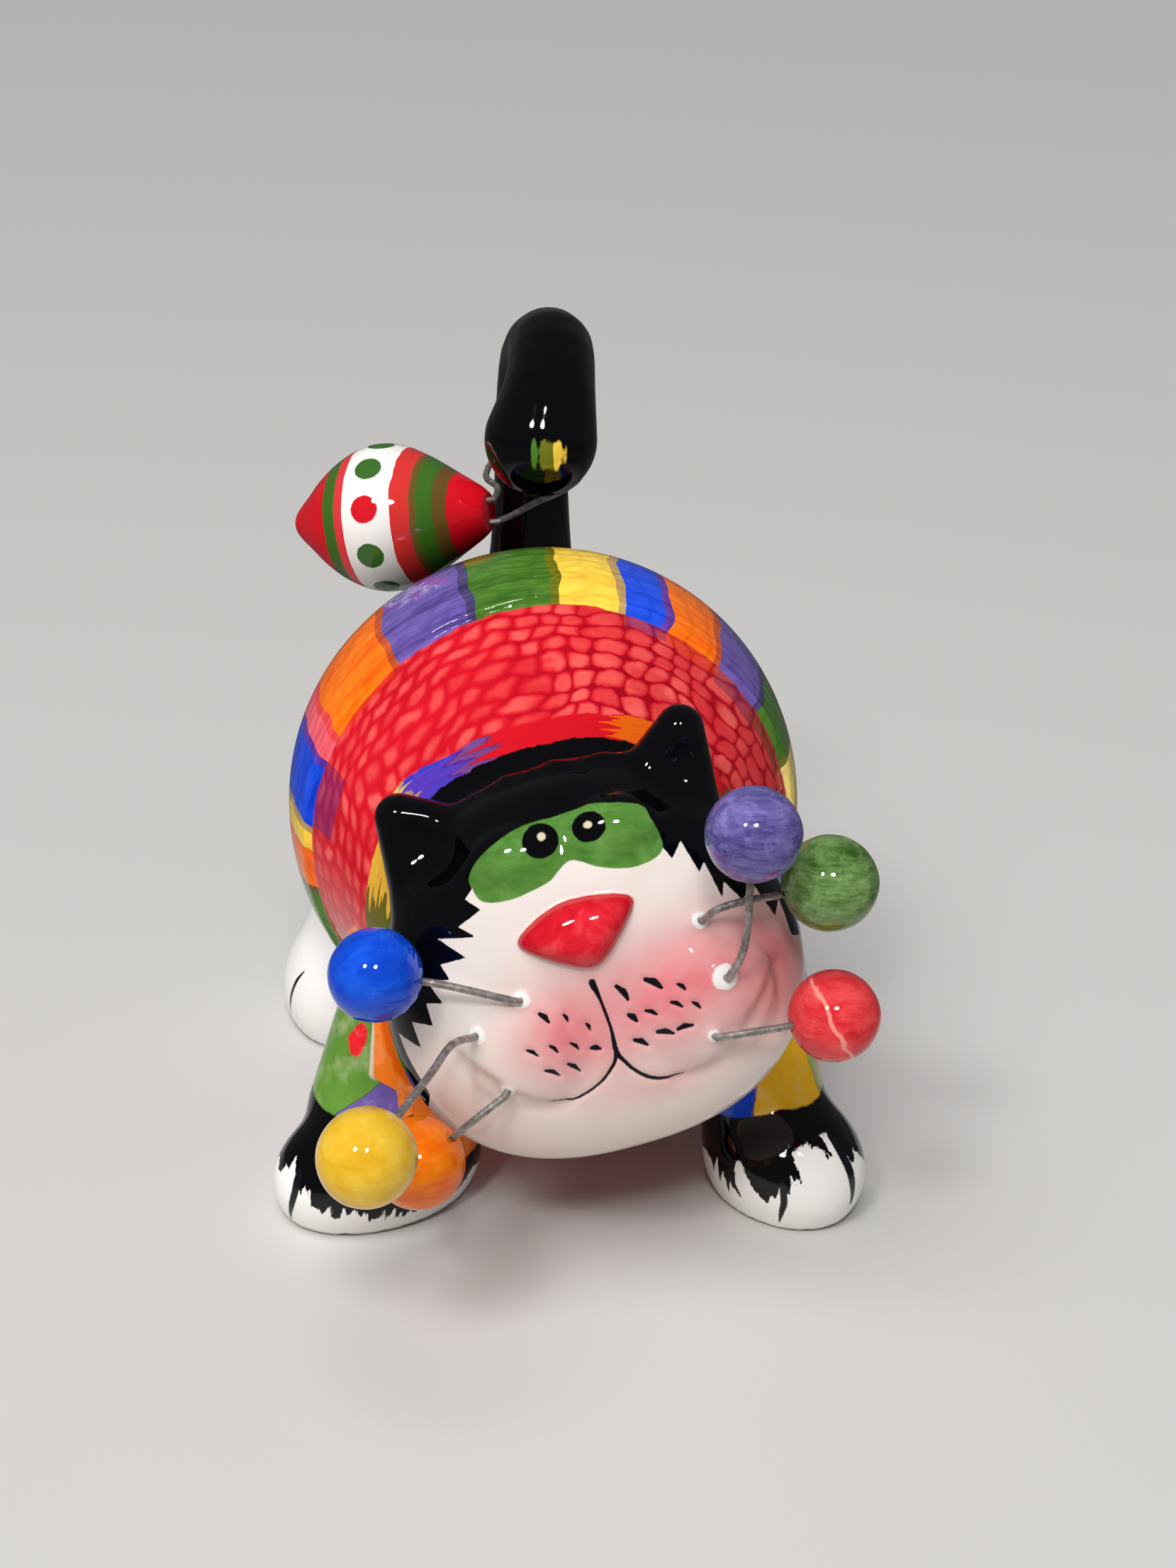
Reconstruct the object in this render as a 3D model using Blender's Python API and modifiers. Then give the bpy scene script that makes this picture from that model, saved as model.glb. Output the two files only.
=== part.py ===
"""Glazed ceramic cat with wire whiskers, painted beads and a striped ornament on its tail.

Metres, +Z up. The cat faces -Y, +X is on the viewer's right, and its paws stand on z = 0.
Sizes and places below are millimetres, counted from the middle of the cat's belly.
"""
import math

import bmesh
import bpy
from mathutils import Matrix, Vector

MM = 0.001
STAND_MIDDLE = (2.5, -18.1)
SMALL_GAP = 0.3

# Torso and chest
TORSO_PLACE = (0.0, 4.0, 50.0)
TORSO_RADII = (40.3, 42.0, 40.5)
CHEST_PLACE = (0.5, -24.0, 44.0)
CHEST_RADII = (30.0, 20.0, 27.0)

# Head: a squarish bun, turned a little to the viewer's left, looking up and tilted
HEAD_PLACE = (2.4, -44.0, 46.6)
HEAD_RADII = (31.0, 15.5, 28.2)
HEAD_YAW = -6.0
HEAD_PITCH = -15.0
HEAD_ROLL = -19.0
HEAD_POWER = 2.4
BROW_NARROWING = 0.07
BROW_HEIGHT = 8.0
BROW_SPREAD = 10.0

# Forms on the face, as (right, up) on the face, with how far the middle lies behind its front
CHEEKS = ((-9.9, -6.0), (12.6, -6.2))
CHEEK_RADII = ((10.9, 6.0, 10.6), (12.6, 6.0, 11.0))
CHEEK_DEPTH = 4.2
EYES = ((-5.2, 18.2), (8.6, 18.4))
EYE_RADII = (7.8, 4.6, 5.6)
EYE_DEPTH = 3.3
NOSE_CORNERS = ((-4.5, 8.2, 2.5), (5.6, 9.1, 2.6), (1.0, 5.8, 2.7))
NOSE_DEPTH = -0.1

# Ears: each is the hull of two base balls and a tip ball, scooped in front by a larger ball
EARS = (
    {"base": ((-12.0, 22.0), (-20.4, 15.5)), "tip": (-20.2, 27.6), "scoop": (-18.2, 24.8)},
    {"base": ((13.5, 21.5), (19.8, 13.0)), "tip": (21.8, 28.8), "scoop": (20.8, 25.0)},
)
EAR_BASE_RADIUS = 4.6
EAR_TIP_RADIUS = 3.7
EAR_FRONT = 0.5
EAR_SCOOP_RADIUS = 7.0
EAR_SCOOP_FRONT = 10.6

# Legs: a paw, and the hull of a shoulder ball and an ankle ball; the front paws turn outwards
FRONT_LEGS = (
    {
        "paw": (-26.9, -34.9, 6.0), "radii": (11.2, 17.2, 11.6), "turn": -64.0,
        "ankle": (-28.0, -30.0, 13.0), "shoulder": (-19.0, -20.0, 36.0),
    },
    {
        "paw": (36.5, -35.1, 6.0), "radii": (11.7, 14.2, 11.6), "turn": 33.0,
        "ankle": (33.4, -30.0, 13.0), "shoulder": (28.4, -20.0, 36.0),
    },
)
HIND_LEGS = (
    {
        "paw": (-30.2, 22.0, 6.5), "radii": (12.3, 15.0, 12.5), "turn": -10.0,
        "ankle": (-29.0, 24.0, 12.0), "shoulder": (-24.0, 22.0, 30.0),
    },
    {
        "paw": (30.2, 22.0, 6.5), "radii": (12.3, 15.0, 12.5), "turn": 10.0,
        "ankle": (29.0, 24.0, 12.0), "shoulder": (24.0, 22.0, 30.0),
    },
)
FRONT_ANKLE_RADIUS = 9.8
FRONT_SHOULDER_RADIUS = 11.0
HIND_ANKLE_RADIUS = 10.0
HIND_SHOULDER_RADIUS = 12.0

# Tail: x, y, z and radius along its middle line, from the rump over the hook to the bulb
TAIL_ROUTE = (
    (0.0, 40.0, 68.0, 8.4),
    (0.0, 46.5, 85.0, 6.7),
    (-0.5, 47.2, 101.0, 6.4),
    (0.0, 42.4, 113.0, 6.9),
    (0.8, 33.0, 116.6, 7.1),
    (0.0, 26.0, 111.4, 7.6),
    (-1.2, 23.5, 104.6, 9.2),
)
TAIL_STEP = 3.0

# How the cat's surface is made
VOXEL_SIZE = 0.8
SMOOTH_FACTOR = 0.5
SMOOTH_ROUNDS = 10
KEPT_FACES = 0.0312
FLOOR_CUTTER_SIDE = 200.0

# Whiskers: where the wire leaves the face, how it leaves, its bends, and the bead on its end
WIRE_RADIUS = 0.575
BORE_RADIUS = WIRE_RADIUS + SMALL_GAP
BORE_DEPTH = 2.8
BORE_CUTTER_OUTSIDE = 1.6
BORE_SEGMENTS = 10
WIRE_STEP = 2.2
WIRE_STRAIGHT_AT_FACE = 0.9
WIRE_STRAIGHT_AT_BEAD = 0.6
WIRE_BEVEL_STEPS = 2
WHISKERS = {
    "blue": {
        "mouth": (-8.5, -58.4, 48.1), "leaves": (-0.45, -0.88, 0.15),
        "bends": ((-15.8, -58.8, 49.9), (-20.4, -58.2, 50.7)),
        "bead": (-28.6, -57.0, 51.4), "bead_radius": 6.7, "paint": (0.02, 0.10, 0.68),
    },
    "yellow": {
        "mouth": (-14.4, -58.6, 42.7), "leaves": (-0.5, -0.85, 0.15),
        "bends": ((-18.2, -63.3, 44.0), (-21.1, -68.6, 43.0), (-24.4, -74.6, 42.1)),
        "bead": (-30.1, -85.4, 40.8), "bead_radius": 6.7, "paint": (0.86, 0.58, 0.06),
    },
    "orange": {
        "mouth": (-10.1, -61.2, 35.1), "leaves": (-0.4, -0.85, -0.3),
        "bends": ((-14.1, -63.2, 32.4), (-17.6, -62.6, 28.6)),
        "bead": (-22.2, -61.6, 23.8), "bead_radius": 6.7, "paint": (0.95, 0.26, 0.01),
    },
    "purple": {
        "mouth": (19.3, -60.3, 52.7), "leaves": (0.35, -0.9, 0.25),
        "bends": ((20.9, -62.3, 57.0), (21.4, -62.3, 61.0), (21.3, -62.2, 66.2)),
        "bead": (21.0, -62.4, 75.5), "bead_radius": 6.7, "paint": (0.14, 0.09, 0.40),
    },
    "green": {
        "mouth": (15.9, -56.1, 59.3), "leaves": (0.3, -0.85, 0.45),
        "bends": ((17.9, -57.8, 61.8), (21.6, -57.8, 63.1), (26.6, -57.7, 64.0)),
        "bead": (33.4, -57.4, 65.7), "bead_radius": 6.85, "paint": (0.08, 0.26, 0.04),
    },
    "red": {
        "mouth": (18.0, -62.3, 44.6), "leaves": (0.5, -0.85, 0.05),
        "bends": ((22.4, -63.8, 45.8), (27.7, -63.2, 46.3)),
        "bead": (34.9, -61.8, 47.3), "bead_radius": 6.6, "paint": (0.80, 0.03, 0.06),
    },
}
BEAD_SEGMENTS = 14
BEAD_RINGS = 9

# Ornament: a turned drop, its blunt neck end by the tail and its rounded tip out to the left,
# as (share of its length from the tip, radius)
ORNAMENT_PLACE = (-24.5, 37.0, 86.7)
ORNAMENT_AXIS = (0.909, -0.365, 0.202)
ORNAMENT_LENGTH = 35.0
ORNAMENT_PROFILE = (
    (0.0, 0.0), (0.012, 1.5), (0.04, 2.8), (0.1, 4.8), (0.19, 7.8), (0.29, 10.3), (0.4, 12.0), (0.5, 12.4),
    (0.6, 11.7), (0.72, 9.7), (0.85, 6.9), (0.95, 4.7), (1.0, 3.6),
)
ORNAMENT_STEPS = 20
TURNED_MERGE = 0.00005

# Hanger: one wire from the ornament's neck round the tail and back
HANGER_HOLE_SPACING = 1.9
HANGER_INSIDE = 2.2
HANGER_STRAIGHT = 1.2
HANGER_BENDS = (
    (-4.4, 31.9, 89.3), (-0.6, 35.6, 90.2), (5.0, 39.6, 91.6), (8.2, 46.4, 92.2), (6.0, 53.0, 92.4),
    (0.0, 55.3, 92.3), (-6.2, 52.8, 92.2), (-8.0, 46.6, 92.2), (-8.3, 40.0, 92.9), (-7.0, 33.4, 93.4),
)


def clear_scene():
    for thing in list(bpy.data.objects):
        bpy.data.objects.remove(thing, do_unlink=True)


def new_collection(name):
    collection = bpy.data.collections.new(name)
    bpy.context.scene.collection.children.link(collection)
    return collection


def place(values):
    """A point given in millimetres from the middle of the belly, in metres."""
    return Vector(values) * MM


def head_turn():
    """The head's own right, back and up directions, as a rotation."""
    yaw = Matrix.Rotation(math.radians(HEAD_YAW), 3, "Z")
    pitch = Matrix.Rotation(math.radians(HEAD_PITCH), 3, "X")
    roll = Matrix.Rotation(math.radians(HEAD_ROLL), 3, "Y")
    return yaw @ pitch @ roll


def brow_width(up):
    """How far the head narrows at a height above its middle, in millimetres."""
    return 1.0 - BROW_NARROWING * (1.0 + math.tanh((up - BROW_HEIGHT) / BROW_SPREAD))


def head_skin(direction):
    """The head's surface along a direction of a unit ball, in its own frame."""
    power_sum = sum(abs(part) ** HEAD_POWER for part in direction)
    reach = power_sum ** (-1.0 / HEAD_POWER)
    right, back, up = (part * reach * size for part, size in zip(direction, HEAD_RADII))
    return Vector((right * brow_width(up), back, up))


def face_front(right, up):
    """How far the face's front stands out from the head's middle at a spot on the face."""
    width = HEAD_RADII[0] * brow_width(up)
    share = abs(right / width) ** HEAD_POWER + abs(up / HEAD_RADII[2]) ** HEAD_POWER
    return HEAD_RADII[1] * max(1.0 - share, 0.0) ** (1.0 / HEAD_POWER)


def on_face(right, up, forward):
    """A spot in the head's frame, forward being towards the viewer, in millimetres."""
    return Vector(HEAD_PLACE) + head_turn() @ Vector((right, -forward, up))


def add_ball(mesh, centre, radii, turn=None, segments=36, rings=24):
    """A ball squashed to three radii, in millimetres, added to a bmesh in metres."""
    turn = turn or Matrix.Identity(3)
    scale = Matrix.Diagonal(Vector(radii) * MM)
    matrix = Matrix.Translation(place(centre)) @ (turn @ scale).to_4x4()
    made = bmesh.ops.create_uvsphere(mesh, u_segments=segments, v_segments=rings, radius=1.0, matrix=matrix)
    return made["verts"]


def add_hull(mesh, balls):
    """The smooth hull round some balls, each a centre and a radius."""
    verts = []
    for centre, radius in balls:
        verts += add_ball(mesh, centre, (radius,) * 3, segments=24, rings=16)
    for vert in verts:
        for edge in list(vert.link_edges):
            mesh.edges.remove(edge)
    hull = bmesh.ops.convex_hull(mesh, input=verts)
    inside = [part for part in hull["geom_interior"] if isinstance(part, bmesh.types.BMVert)]
    bmesh.ops.delete(mesh, geom=inside, context="VERTS")


def add_torso(mesh):
    add_ball(mesh, TORSO_PLACE, TORSO_RADII, segments=64, rings=40)
    add_ball(mesh, CHEST_PLACE, CHEST_RADII, segments=48, rings=32)


def add_head(mesh):
    made = bmesh.ops.create_uvsphere(mesh, u_segments=64, v_segments=40, radius=1.0)
    turn = head_turn()
    for vert in made["verts"]:
        vert.co = place(Vector(HEAD_PLACE) + turn @ head_skin(vert.co.copy()))
    for (right, up), radii in zip(CHEEKS, CHEEK_RADII):
        middle = on_face(right, up, face_front(right, up) - CHEEK_DEPTH)
        add_ball(mesh, middle, radii, turn)
    for right, up in EYES:
        middle = on_face(right, up, face_front(right, up) - EYE_DEPTH)
        add_ball(mesh, middle, EYE_RADII, turn)
    corners = []
    for right, up, radius in NOSE_CORNERS:
        middle = on_face(right, up, face_front(right, up) - NOSE_DEPTH)
        corners.append((middle, radius))
    add_hull(mesh, corners)


def add_ears(mesh):
    for ear in EARS:
        balls = [(on_face(*spot, EAR_FRONT), EAR_BASE_RADIUS) for spot in ear["base"]]
        balls.append((on_face(*ear["tip"], EAR_FRONT), EAR_TIP_RADIUS))
        add_hull(mesh, balls)


def add_legs(mesh):
    kinds = (
        (FRONT_LEGS, FRONT_ANKLE_RADIUS, FRONT_SHOULDER_RADIUS),
        (HIND_LEGS, HIND_ANKLE_RADIUS, HIND_SHOULDER_RADIUS),
    )
    for legs, ankle_radius, shoulder_radius in kinds:
        for leg in legs:
            turn = Matrix.Rotation(math.radians(leg["turn"]), 3, "Z")
            add_ball(mesh, leg["paw"], leg["radii"], turn)
            add_hull(mesh, [(leg["ankle"], ankle_radius), (leg["shoulder"], shoulder_radius)])


def between(before, start, end, after, share):
    """A point on the smooth curve from start to end, which also heeds their neighbours."""
    return 0.5 * (
        2.0 * start
        + (end - before) * share
        + (2.0 * before - 5.0 * start + 4.0 * end - after) * share ** 2
        + (3.0 * start - before - 3.0 * end + after) * share ** 3
    )


def smooth_route(points, step):
    """Points about a step apart on a smooth curve through the given ones."""
    padded = [2.0 * points[0] - points[1], *points, 2.0 * points[-1] - points[-2]]
    route = []
    for before, start, end, after in zip(padded, padded[1:], padded[2:], padded[3:]):
        count = max(1, round((end - start).length / step))
        route += [between(before, start, end, after, index / count) for index in range(count)]
    return route + [points[-1].copy()]


def add_tail(mesh):
    route = smooth_route([Vector(row) for row in TAIL_ROUTE], TAIL_STEP)
    for start, end in zip(route, route[1:]):
        add_hull(mesh, [(start.xyz, start.w), (end.xyz, end.w)])


def new_object(name, data, collection, parent):
    thing = bpy.data.objects.new(name, data)
    collection.objects.link(thing)
    thing.parent = parent
    return thing


def new_material(name, colour, roughness, metallic=0.0):
    material = bpy.data.materials.new(name)
    material.use_nodes = True
    shader = material.node_tree.nodes["Principled BSDF"]
    shader.inputs["Base Color"].default_value = (*colour, 1.0)
    shader.inputs["Roughness"].default_value = roughness
    shader.inputs["Metallic"].default_value = metallic
    return material


def mesh_object(name, shape, collection, parent):
    data = bpy.data.meshes.new(name)
    shape.to_mesh(data)
    shape.free()
    data.shade_smooth()
    return new_object(name, data, collection, parent)


def new_cutter(name, shape, cutters, parent):
    cutter = mesh_object(name, shape, cutters, parent)
    cutter.display_type = "WIRE"
    cutter.hide_render = True
    return cutter


def cut(thing, cutter):
    modifier = thing.modifiers.new("cut by " + cutter.name, "BOOLEAN")
    modifier.operation = "DIFFERENCE"
    modifier.solver = "EXACT"
    modifier.object = cutter


def bore_cutter(name, mouth, inward, cutters, parent):
    """A round cutter from just outside a mouth to the bottom of its hole."""
    length = BORE_CUTTER_OUTSIDE + BORE_DEPTH
    inward = Vector(inward).normalized()
    middle = Vector(mouth) + inward * (BORE_DEPTH - BORE_CUTTER_OUTSIDE) / 2.0
    turn = inward.to_track_quat("Z", "Y").to_matrix().to_4x4()
    shape = bmesh.new()
    bmesh.ops.create_cone(
        shape, cap_ends=True, segments=BORE_SEGMENTS, radius1=BORE_RADIUS * MM, radius2=BORE_RADIUS * MM,
        depth=length * MM, matrix=Matrix.Translation(place(middle)) @ turn,
    )
    return new_cutter(name, shape, cutters, parent)


def make_cat(parts, cutters, parent):
    shape = bmesh.new()
    for add in (add_torso, add_head, add_ears, add_legs, add_tail):
        add(shape)
    cat = mesh_object("cat", shape, parts, parent)
    cat.data.materials.append(new_material("glazed cat", (0.72, 0.10, 0.08), 0.12))
    cast = cat.modifiers.new("cast as one", "REMESH")
    cast.mode = "VOXEL"
    cast.voxel_size = VOXEL_SIZE * MM
    cast.use_smooth_shade = True
    soft = cat.modifiers.new("soft joins", "SMOOTH")
    soft.factor = SMOOTH_FACTOR
    soft.iterations = SMOOTH_ROUNDS
    fewer = cat.modifiers.new("fewer faces", "DECIMATE")
    fewer.ratio = KEPT_FACES
    cut(cat, floor_cutter(cutters, parent))
    for index, ear in enumerate(EARS):
        cut(cat, ear_cutter(f"ear scoop {index}", ear["scoop"], cutters, parent))
    for colour, whisker in WHISKERS.items():
        inward = -Vector(whisker["leaves"])
        cut(cat, bore_cutter(f"face hole {colour}", whisker["mouth"], inward, cutters, parent))
    return cat


def floor_cutter(cutters, parent):
    """Takes off what lies below the table, so that the paws are flat underneath."""
    shape = bmesh.new()
    middle = place((0.0, 0.0, -FLOOR_CUTTER_SIDE / 2.0))
    matrix = Matrix.Translation(middle) @ Matrix.Scale(FLOOR_CUTTER_SIDE * MM, 4)
    bmesh.ops.create_cube(shape, size=1.0, matrix=matrix)
    return new_cutter("floor", shape, cutters, parent)


def ear_cutter(name, spot, cutters, parent):
    shape = bmesh.new()
    middle = on_face(*spot, EAR_SCOOP_FRONT)
    add_ball(shape, middle, (EAR_SCOOP_RADIUS,) * 3, head_turn(), segments=14, rings=8)
    return new_cutter(name, shape, cutters, parent)


def wire_object(name, points, parts, parent, material):
    """A round wire through points, as a curve with filled ends."""
    data = bpy.data.curves.new(name, "CURVE")
    data.dimensions = "3D"
    data.bevel_depth = WIRE_RADIUS * MM
    data.bevel_resolution = WIRE_BEVEL_STEPS
    data.use_fill_caps = True
    spline = data.splines.new("POLY")
    spline.points.add(len(points) - 1)
    for spline_point, point in zip(spline.points, points):
        spline_point.co = (*place(point), 1.0)
    data.materials.append(material)
    return new_object(name, data, parts, parent)


def whisker_route(whisker):
    """The wire's middle line, from inside the face to inside its bead."""
    mouth = Vector(whisker["mouth"])
    leaves = Vector(whisker["leaves"]).normalized()
    bead = Vector(whisker["bead"])
    back = (Vector(whisker["bends"][-1]) - bead).normalized()
    free = [mouth + leaves * WIRE_STRAIGHT_AT_FACE]
    free += [Vector(bend) for bend in whisker["bends"]]
    free.append(bead + back * (whisker["bead_radius"] + WIRE_STRAIGHT_AT_BEAD))
    inside_face = mouth - leaves * (BORE_DEPTH - SMALL_GAP)
    inside_bead = bead + back * (whisker["bead_radius"] - BORE_DEPTH + SMALL_GAP)
    return [inside_face, *smooth_route(free, WIRE_STEP), inside_bead]


def make_bead(colour, whisker, parts, cutters, parent):
    shape = bmesh.new()
    radius = whisker["bead_radius"]
    add_ball(shape, whisker["bead"], (radius,) * 3, segments=BEAD_SEGMENTS, rings=BEAD_RINGS)
    bead = mesh_object(f"whisker_bead_{colour}", shape, parts, parent)
    bead.data.materials.append(new_material(f"{colour} bead paint", whisker["paint"], 0.15))
    back = (Vector(whisker["bends"][-1]) - Vector(whisker["bead"])).normalized()
    mouth = Vector(whisker["bead"]) + back * radius
    cut(bead, bore_cutter(f"bead hole {colour}", mouth, -back, cutters, parent))


def make_whiskers(parts, cutters, parent):
    steel = new_material("whisker wire", (0.16, 0.15, 0.14), 0.4, 1.0)
    for colour, whisker in WHISKERS.items():
        wire_object(f"whisker_wire_{colour}", whisker_route(whisker), parts, parent, steel.copy())
        make_bead(colour, whisker, parts, cutters, parent)


def ornament_frame():
    """The ornament's axis towards its neck, and the direction its two holes lie apart."""
    axis = Vector(ORNAMENT_AXIS).normalized()
    apart = (Vector((0.0, 0.0, 1.0)) - axis * axis.z).normalized()
    return axis, apart


def make_ornament(parts, cutters, parent):
    shape = bmesh.new()
    profile = [(1.0, 0.0), *reversed(ORNAMENT_PROFILE)]
    heights = [(share - 0.5) * ORNAMENT_LENGTH for share, radius in profile]
    verts = [shape.verts.new((row[1] * MM, 0.0, height * MM)) for row, height in zip(profile, heights)]
    for start, end in zip(verts, verts[1:]):
        shape.edges.new((start, end))
    ornament = mesh_object("ornament", shape, parts, parent)
    ornament.data.materials.append(new_material("striped ornament paint", (0.75, 0.12, 0.08), 0.15))
    axis, apart = ornament_frame()
    ornament.location = place(ORNAMENT_PLACE)
    ornament.rotation_euler = axis.to_track_quat("Z", "Y").to_euler()
    turned = ornament.modifiers.new("turned", "SCREW")
    turned.steps = ORNAMENT_STEPS
    turned.render_steps = ORNAMENT_STEPS
    turned.use_merge_vertices = True
    turned.merge_threshold = TURNED_MERGE
    neck = Vector(ORNAMENT_PLACE) + axis * ORNAMENT_LENGTH / 2.0
    for name, side in (("lower", -1.0), ("upper", 1.0)):
        mouth = neck + apart * side * HANGER_HOLE_SPACING
        cut(ornament, bore_cutter(f"ornament hole {name}", mouth, -axis, cutters, parent))


def make_hanger(parts, parent):
    axis, apart = ornament_frame()
    neck = Vector(ORNAMENT_PLACE) + axis * ORNAMENT_LENGTH / 2.0
    lower = neck - apart * HANGER_HOLE_SPACING
    upper = neck + apart * HANGER_HOLE_SPACING
    free = [lower + axis * HANGER_STRAIGHT]
    free += [Vector(bend) for bend in HANGER_BENDS]
    free.append(upper + axis * HANGER_STRAIGHT)
    route = [lower - axis * HANGER_INSIDE, *smooth_route(free, WIRE_STEP), upper - axis * HANGER_INSIDE]
    steel = new_material("hanger wire", (0.20, 0.19, 0.18), 0.4, 1.0)
    wire_object("ornament_hanger", route, parts, parent, steel)


def main():
    clear_scene()
    parts = new_collection("ceramic cat")
    cutters = new_collection("cutters")
    stand = bpy.data.objects.new("stand point", None)
    parts.objects.link(stand)
    stand.location = (-STAND_MIDDLE[0] * MM, -STAND_MIDDLE[1] * MM, 0.0)
    make_cat(parts, cutters, stand)
    make_whiskers(parts, cutters, stand)
    make_ornament(parts, cutters, stand)
    make_hanger(parts, stand)


main()
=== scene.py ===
"""Looks of the glazed ceramic cat with wire whiskers, painted beads and a striped ornament on its tail.

Sizes and places are millimetres from the middle of the cat's belly, as in the part's source, until a
mesh is made: there they become metres in the frame.
"""
import math

import bpy
import numpy as np
from mathutils import Matrix, Vector


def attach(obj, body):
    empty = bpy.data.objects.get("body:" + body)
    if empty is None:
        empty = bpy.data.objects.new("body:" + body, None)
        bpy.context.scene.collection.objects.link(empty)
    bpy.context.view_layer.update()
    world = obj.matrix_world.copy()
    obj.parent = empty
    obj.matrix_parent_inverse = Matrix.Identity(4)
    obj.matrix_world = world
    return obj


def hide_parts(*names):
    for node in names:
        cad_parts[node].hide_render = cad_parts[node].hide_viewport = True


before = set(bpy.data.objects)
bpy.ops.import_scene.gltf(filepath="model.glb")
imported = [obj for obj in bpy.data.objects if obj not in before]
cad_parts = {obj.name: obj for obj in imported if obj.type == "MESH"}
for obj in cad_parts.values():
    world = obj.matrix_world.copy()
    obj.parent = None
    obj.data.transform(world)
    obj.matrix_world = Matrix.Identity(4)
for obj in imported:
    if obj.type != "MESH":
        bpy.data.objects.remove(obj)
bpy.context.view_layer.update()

MM = 0.001
STAND_MIDDLE = np.array((2.5, -18.1, 0.0))

# Torso and chest; a softness is the length over which two forms melt together
TORSO_PLACE = (0.0, 4.0, 50.0)
TORSO_RADII = (40.3, 42.0, 40.5)
CHEST_PLACE = (0.5, -24.0, 44.0)
CHEST_RADII = (30.0, 20.0, 27.0)
CHEST_SOFTNESS = 10.0
FLOOR_SOFTNESS = 0.8

# Head and the forms on its face, as (right, up) on the face
HEAD_PLACE = np.array((2.4, -44.0, 46.6))
HEAD_RADII = (31.0, 15.5, 28.2)
HEAD_POWER = 2.4
HEAD_SOFTNESS = 2.6
BROW_NARROWING = 0.07
BROW_HEIGHT = 8.0
BROW_SPREAD = 10.0
CHEEKS = ((-9.9, -6.0), (12.6, -6.2))
CHEEK_RADII = ((10.9, 6.0, 10.6), (12.6, 6.0, 11.0))
CHEEK_DEPTH = 4.2
CHEEK_SOFTNESS = 0.9
EYES = ((-5.2, 18.2), (8.6, 18.4))
EYE_RADII = (7.8, 4.6, 5.6)
EYE_DEPTH = 3.3
EYE_SOFTNESS = 1.4
# The nose's four sides: which way each faces on the face, in degrees, and how far out it lies
NOSE_SIDES = ((118.6, 11.9), (77.7, 12.6), (-44.4, 0.3), (-121.4, -1.9))
NOSE_ROUNDING = 1.45
NOSE_SHOULDER = 3.6
NOSE_HEIGHT = 3.1
NOSE_MIDDLE = (0.9, 7.6)
NOSE_SOFTNESS = 0.7
EARS = (
    {"base": ((-12.0, 22.0), (-20.4, 15.5)), "tip": (-20.2, 27.6), "scoop": (-18.2, 24.8)},
    {"base": ((13.5, 21.5), (19.8, 13.0)), "tip": (21.8, 28.8), "scoop": (20.8, 25.0)},
)
EAR_BASE_RADIUS = 4.5
EAR_TIP_RADIUS = 3.5
EAR_FRONT = 0.5
EAR_SOFTNESS = 2.4
EAR_SCOOP_RADIUS = 7.0
EAR_SCOOP_FRONT = 10.6
EAR_SCOOP_SOFTNESS = 1.2
LIP = ((-11.0, 26.0), (-4.0, 27.6), (3.0, 27.8), (10.0, 27.0), (13.5, 26.2))
LIP_RADIUS = 1.5
LIP_FRONT = 1.0
LIP_SOFTNESS = 1.6

# Paint on the paws: black fur as (degrees round the paw from its front, height), and toe strokes, whose
# third number is half their width; the scale is the millimetres that one degree counts for
PAW_SCALE = 0.22
RIGHT_PAW_FUR = (
    (-180, 7), (-140, 5.5), (-120, 8), (-104, 6), (-90.6, 7), (-76.7, 6.9), (-71.5, 5.3), (-69, 8.2),
    (-61.8, 4.8), (-59.2, 7.1), (-49.4, 3.2), (-50.7, 5.8), (-36.4, 3.8), (-46.6, 7.2), (-48.9, 9.7),
    (-43.8, 10), (-31, 7.3), (-23.3, 5.8), (-18, 5.4), (-16.9, 6.9), (-12.4, 6.5), (-11.4, 8.6), (-6.1, 7.9),
    (-4.2, 7.7), (-3.9, 10.4), (-0.1, 9), (-0.9, 10.5), (3.8, 9.3), (0.8, 11.4), (-2, 12.7), (-3, 13.3),
    (1.7, 13.9), (10.3, 14.6), (12.6, 14), (19.6, 13.9), (23.2, 12.3), (23.8, 13.2), (27.2, 12.7),
    (25.1, 14.1), (23.5, 15.2), (33.2, 15.1), (36, 12.8), (40.8, 11.3), (44.5, 10.7), (48.5, 12.3), (60, 9),
    (75, 7), (90, 9.5), (105, 6), (125, 9), (145, 5.5), (160, 8.5), (180, 7), (180, 60), (-180, 60),
)
LEFT_PAW_FUR = (
    (-180, 7), (-160, 9), (-140, 5.5), (-120, 9), (-100, 7), (-85, 9.5), (-72, 8.6), (-66, 10.2), (-57.5, 9),
    (-53.5, 9.2), (-52, 10.5), (-47, 10.2), (-46.2, 12.2), (-40.1, 10.2), (-33.9, 7.7), (-32, 9.1),
    (-29.1, 7.8), (-28.2, 8.6), (-26.4, 6.1), (-21.9, 5.9), (-19.8, 5), (-16.7, 5.9), (-13.5, 7.3),
    (-14.4, 4.7), (-11.1, 4.2), (-8, 4.8), (-5.8, 6.3), (-4, 4.8), (0.9, 6), (3.9, 4.4), (7.3, 5.2),
    (10, 3.2), (12.6, 3.9), (15.9, 3.4), (20.1, 5.4), (21.4, 3.2), (27.3, 5.1), (27.4, 3), (33, 4.5),
    (33.1, 2.9), (38.6, 4.1), (40.5, 2.8), (46.3, 4), (52, 2.9), (60, 4.6), (70, 3.4), (82, 6), (95, 4.4),
    (115, 8), (135, 5.5), (155, 9), (180, 7), (180, 60), (-180, 60),
)
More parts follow.
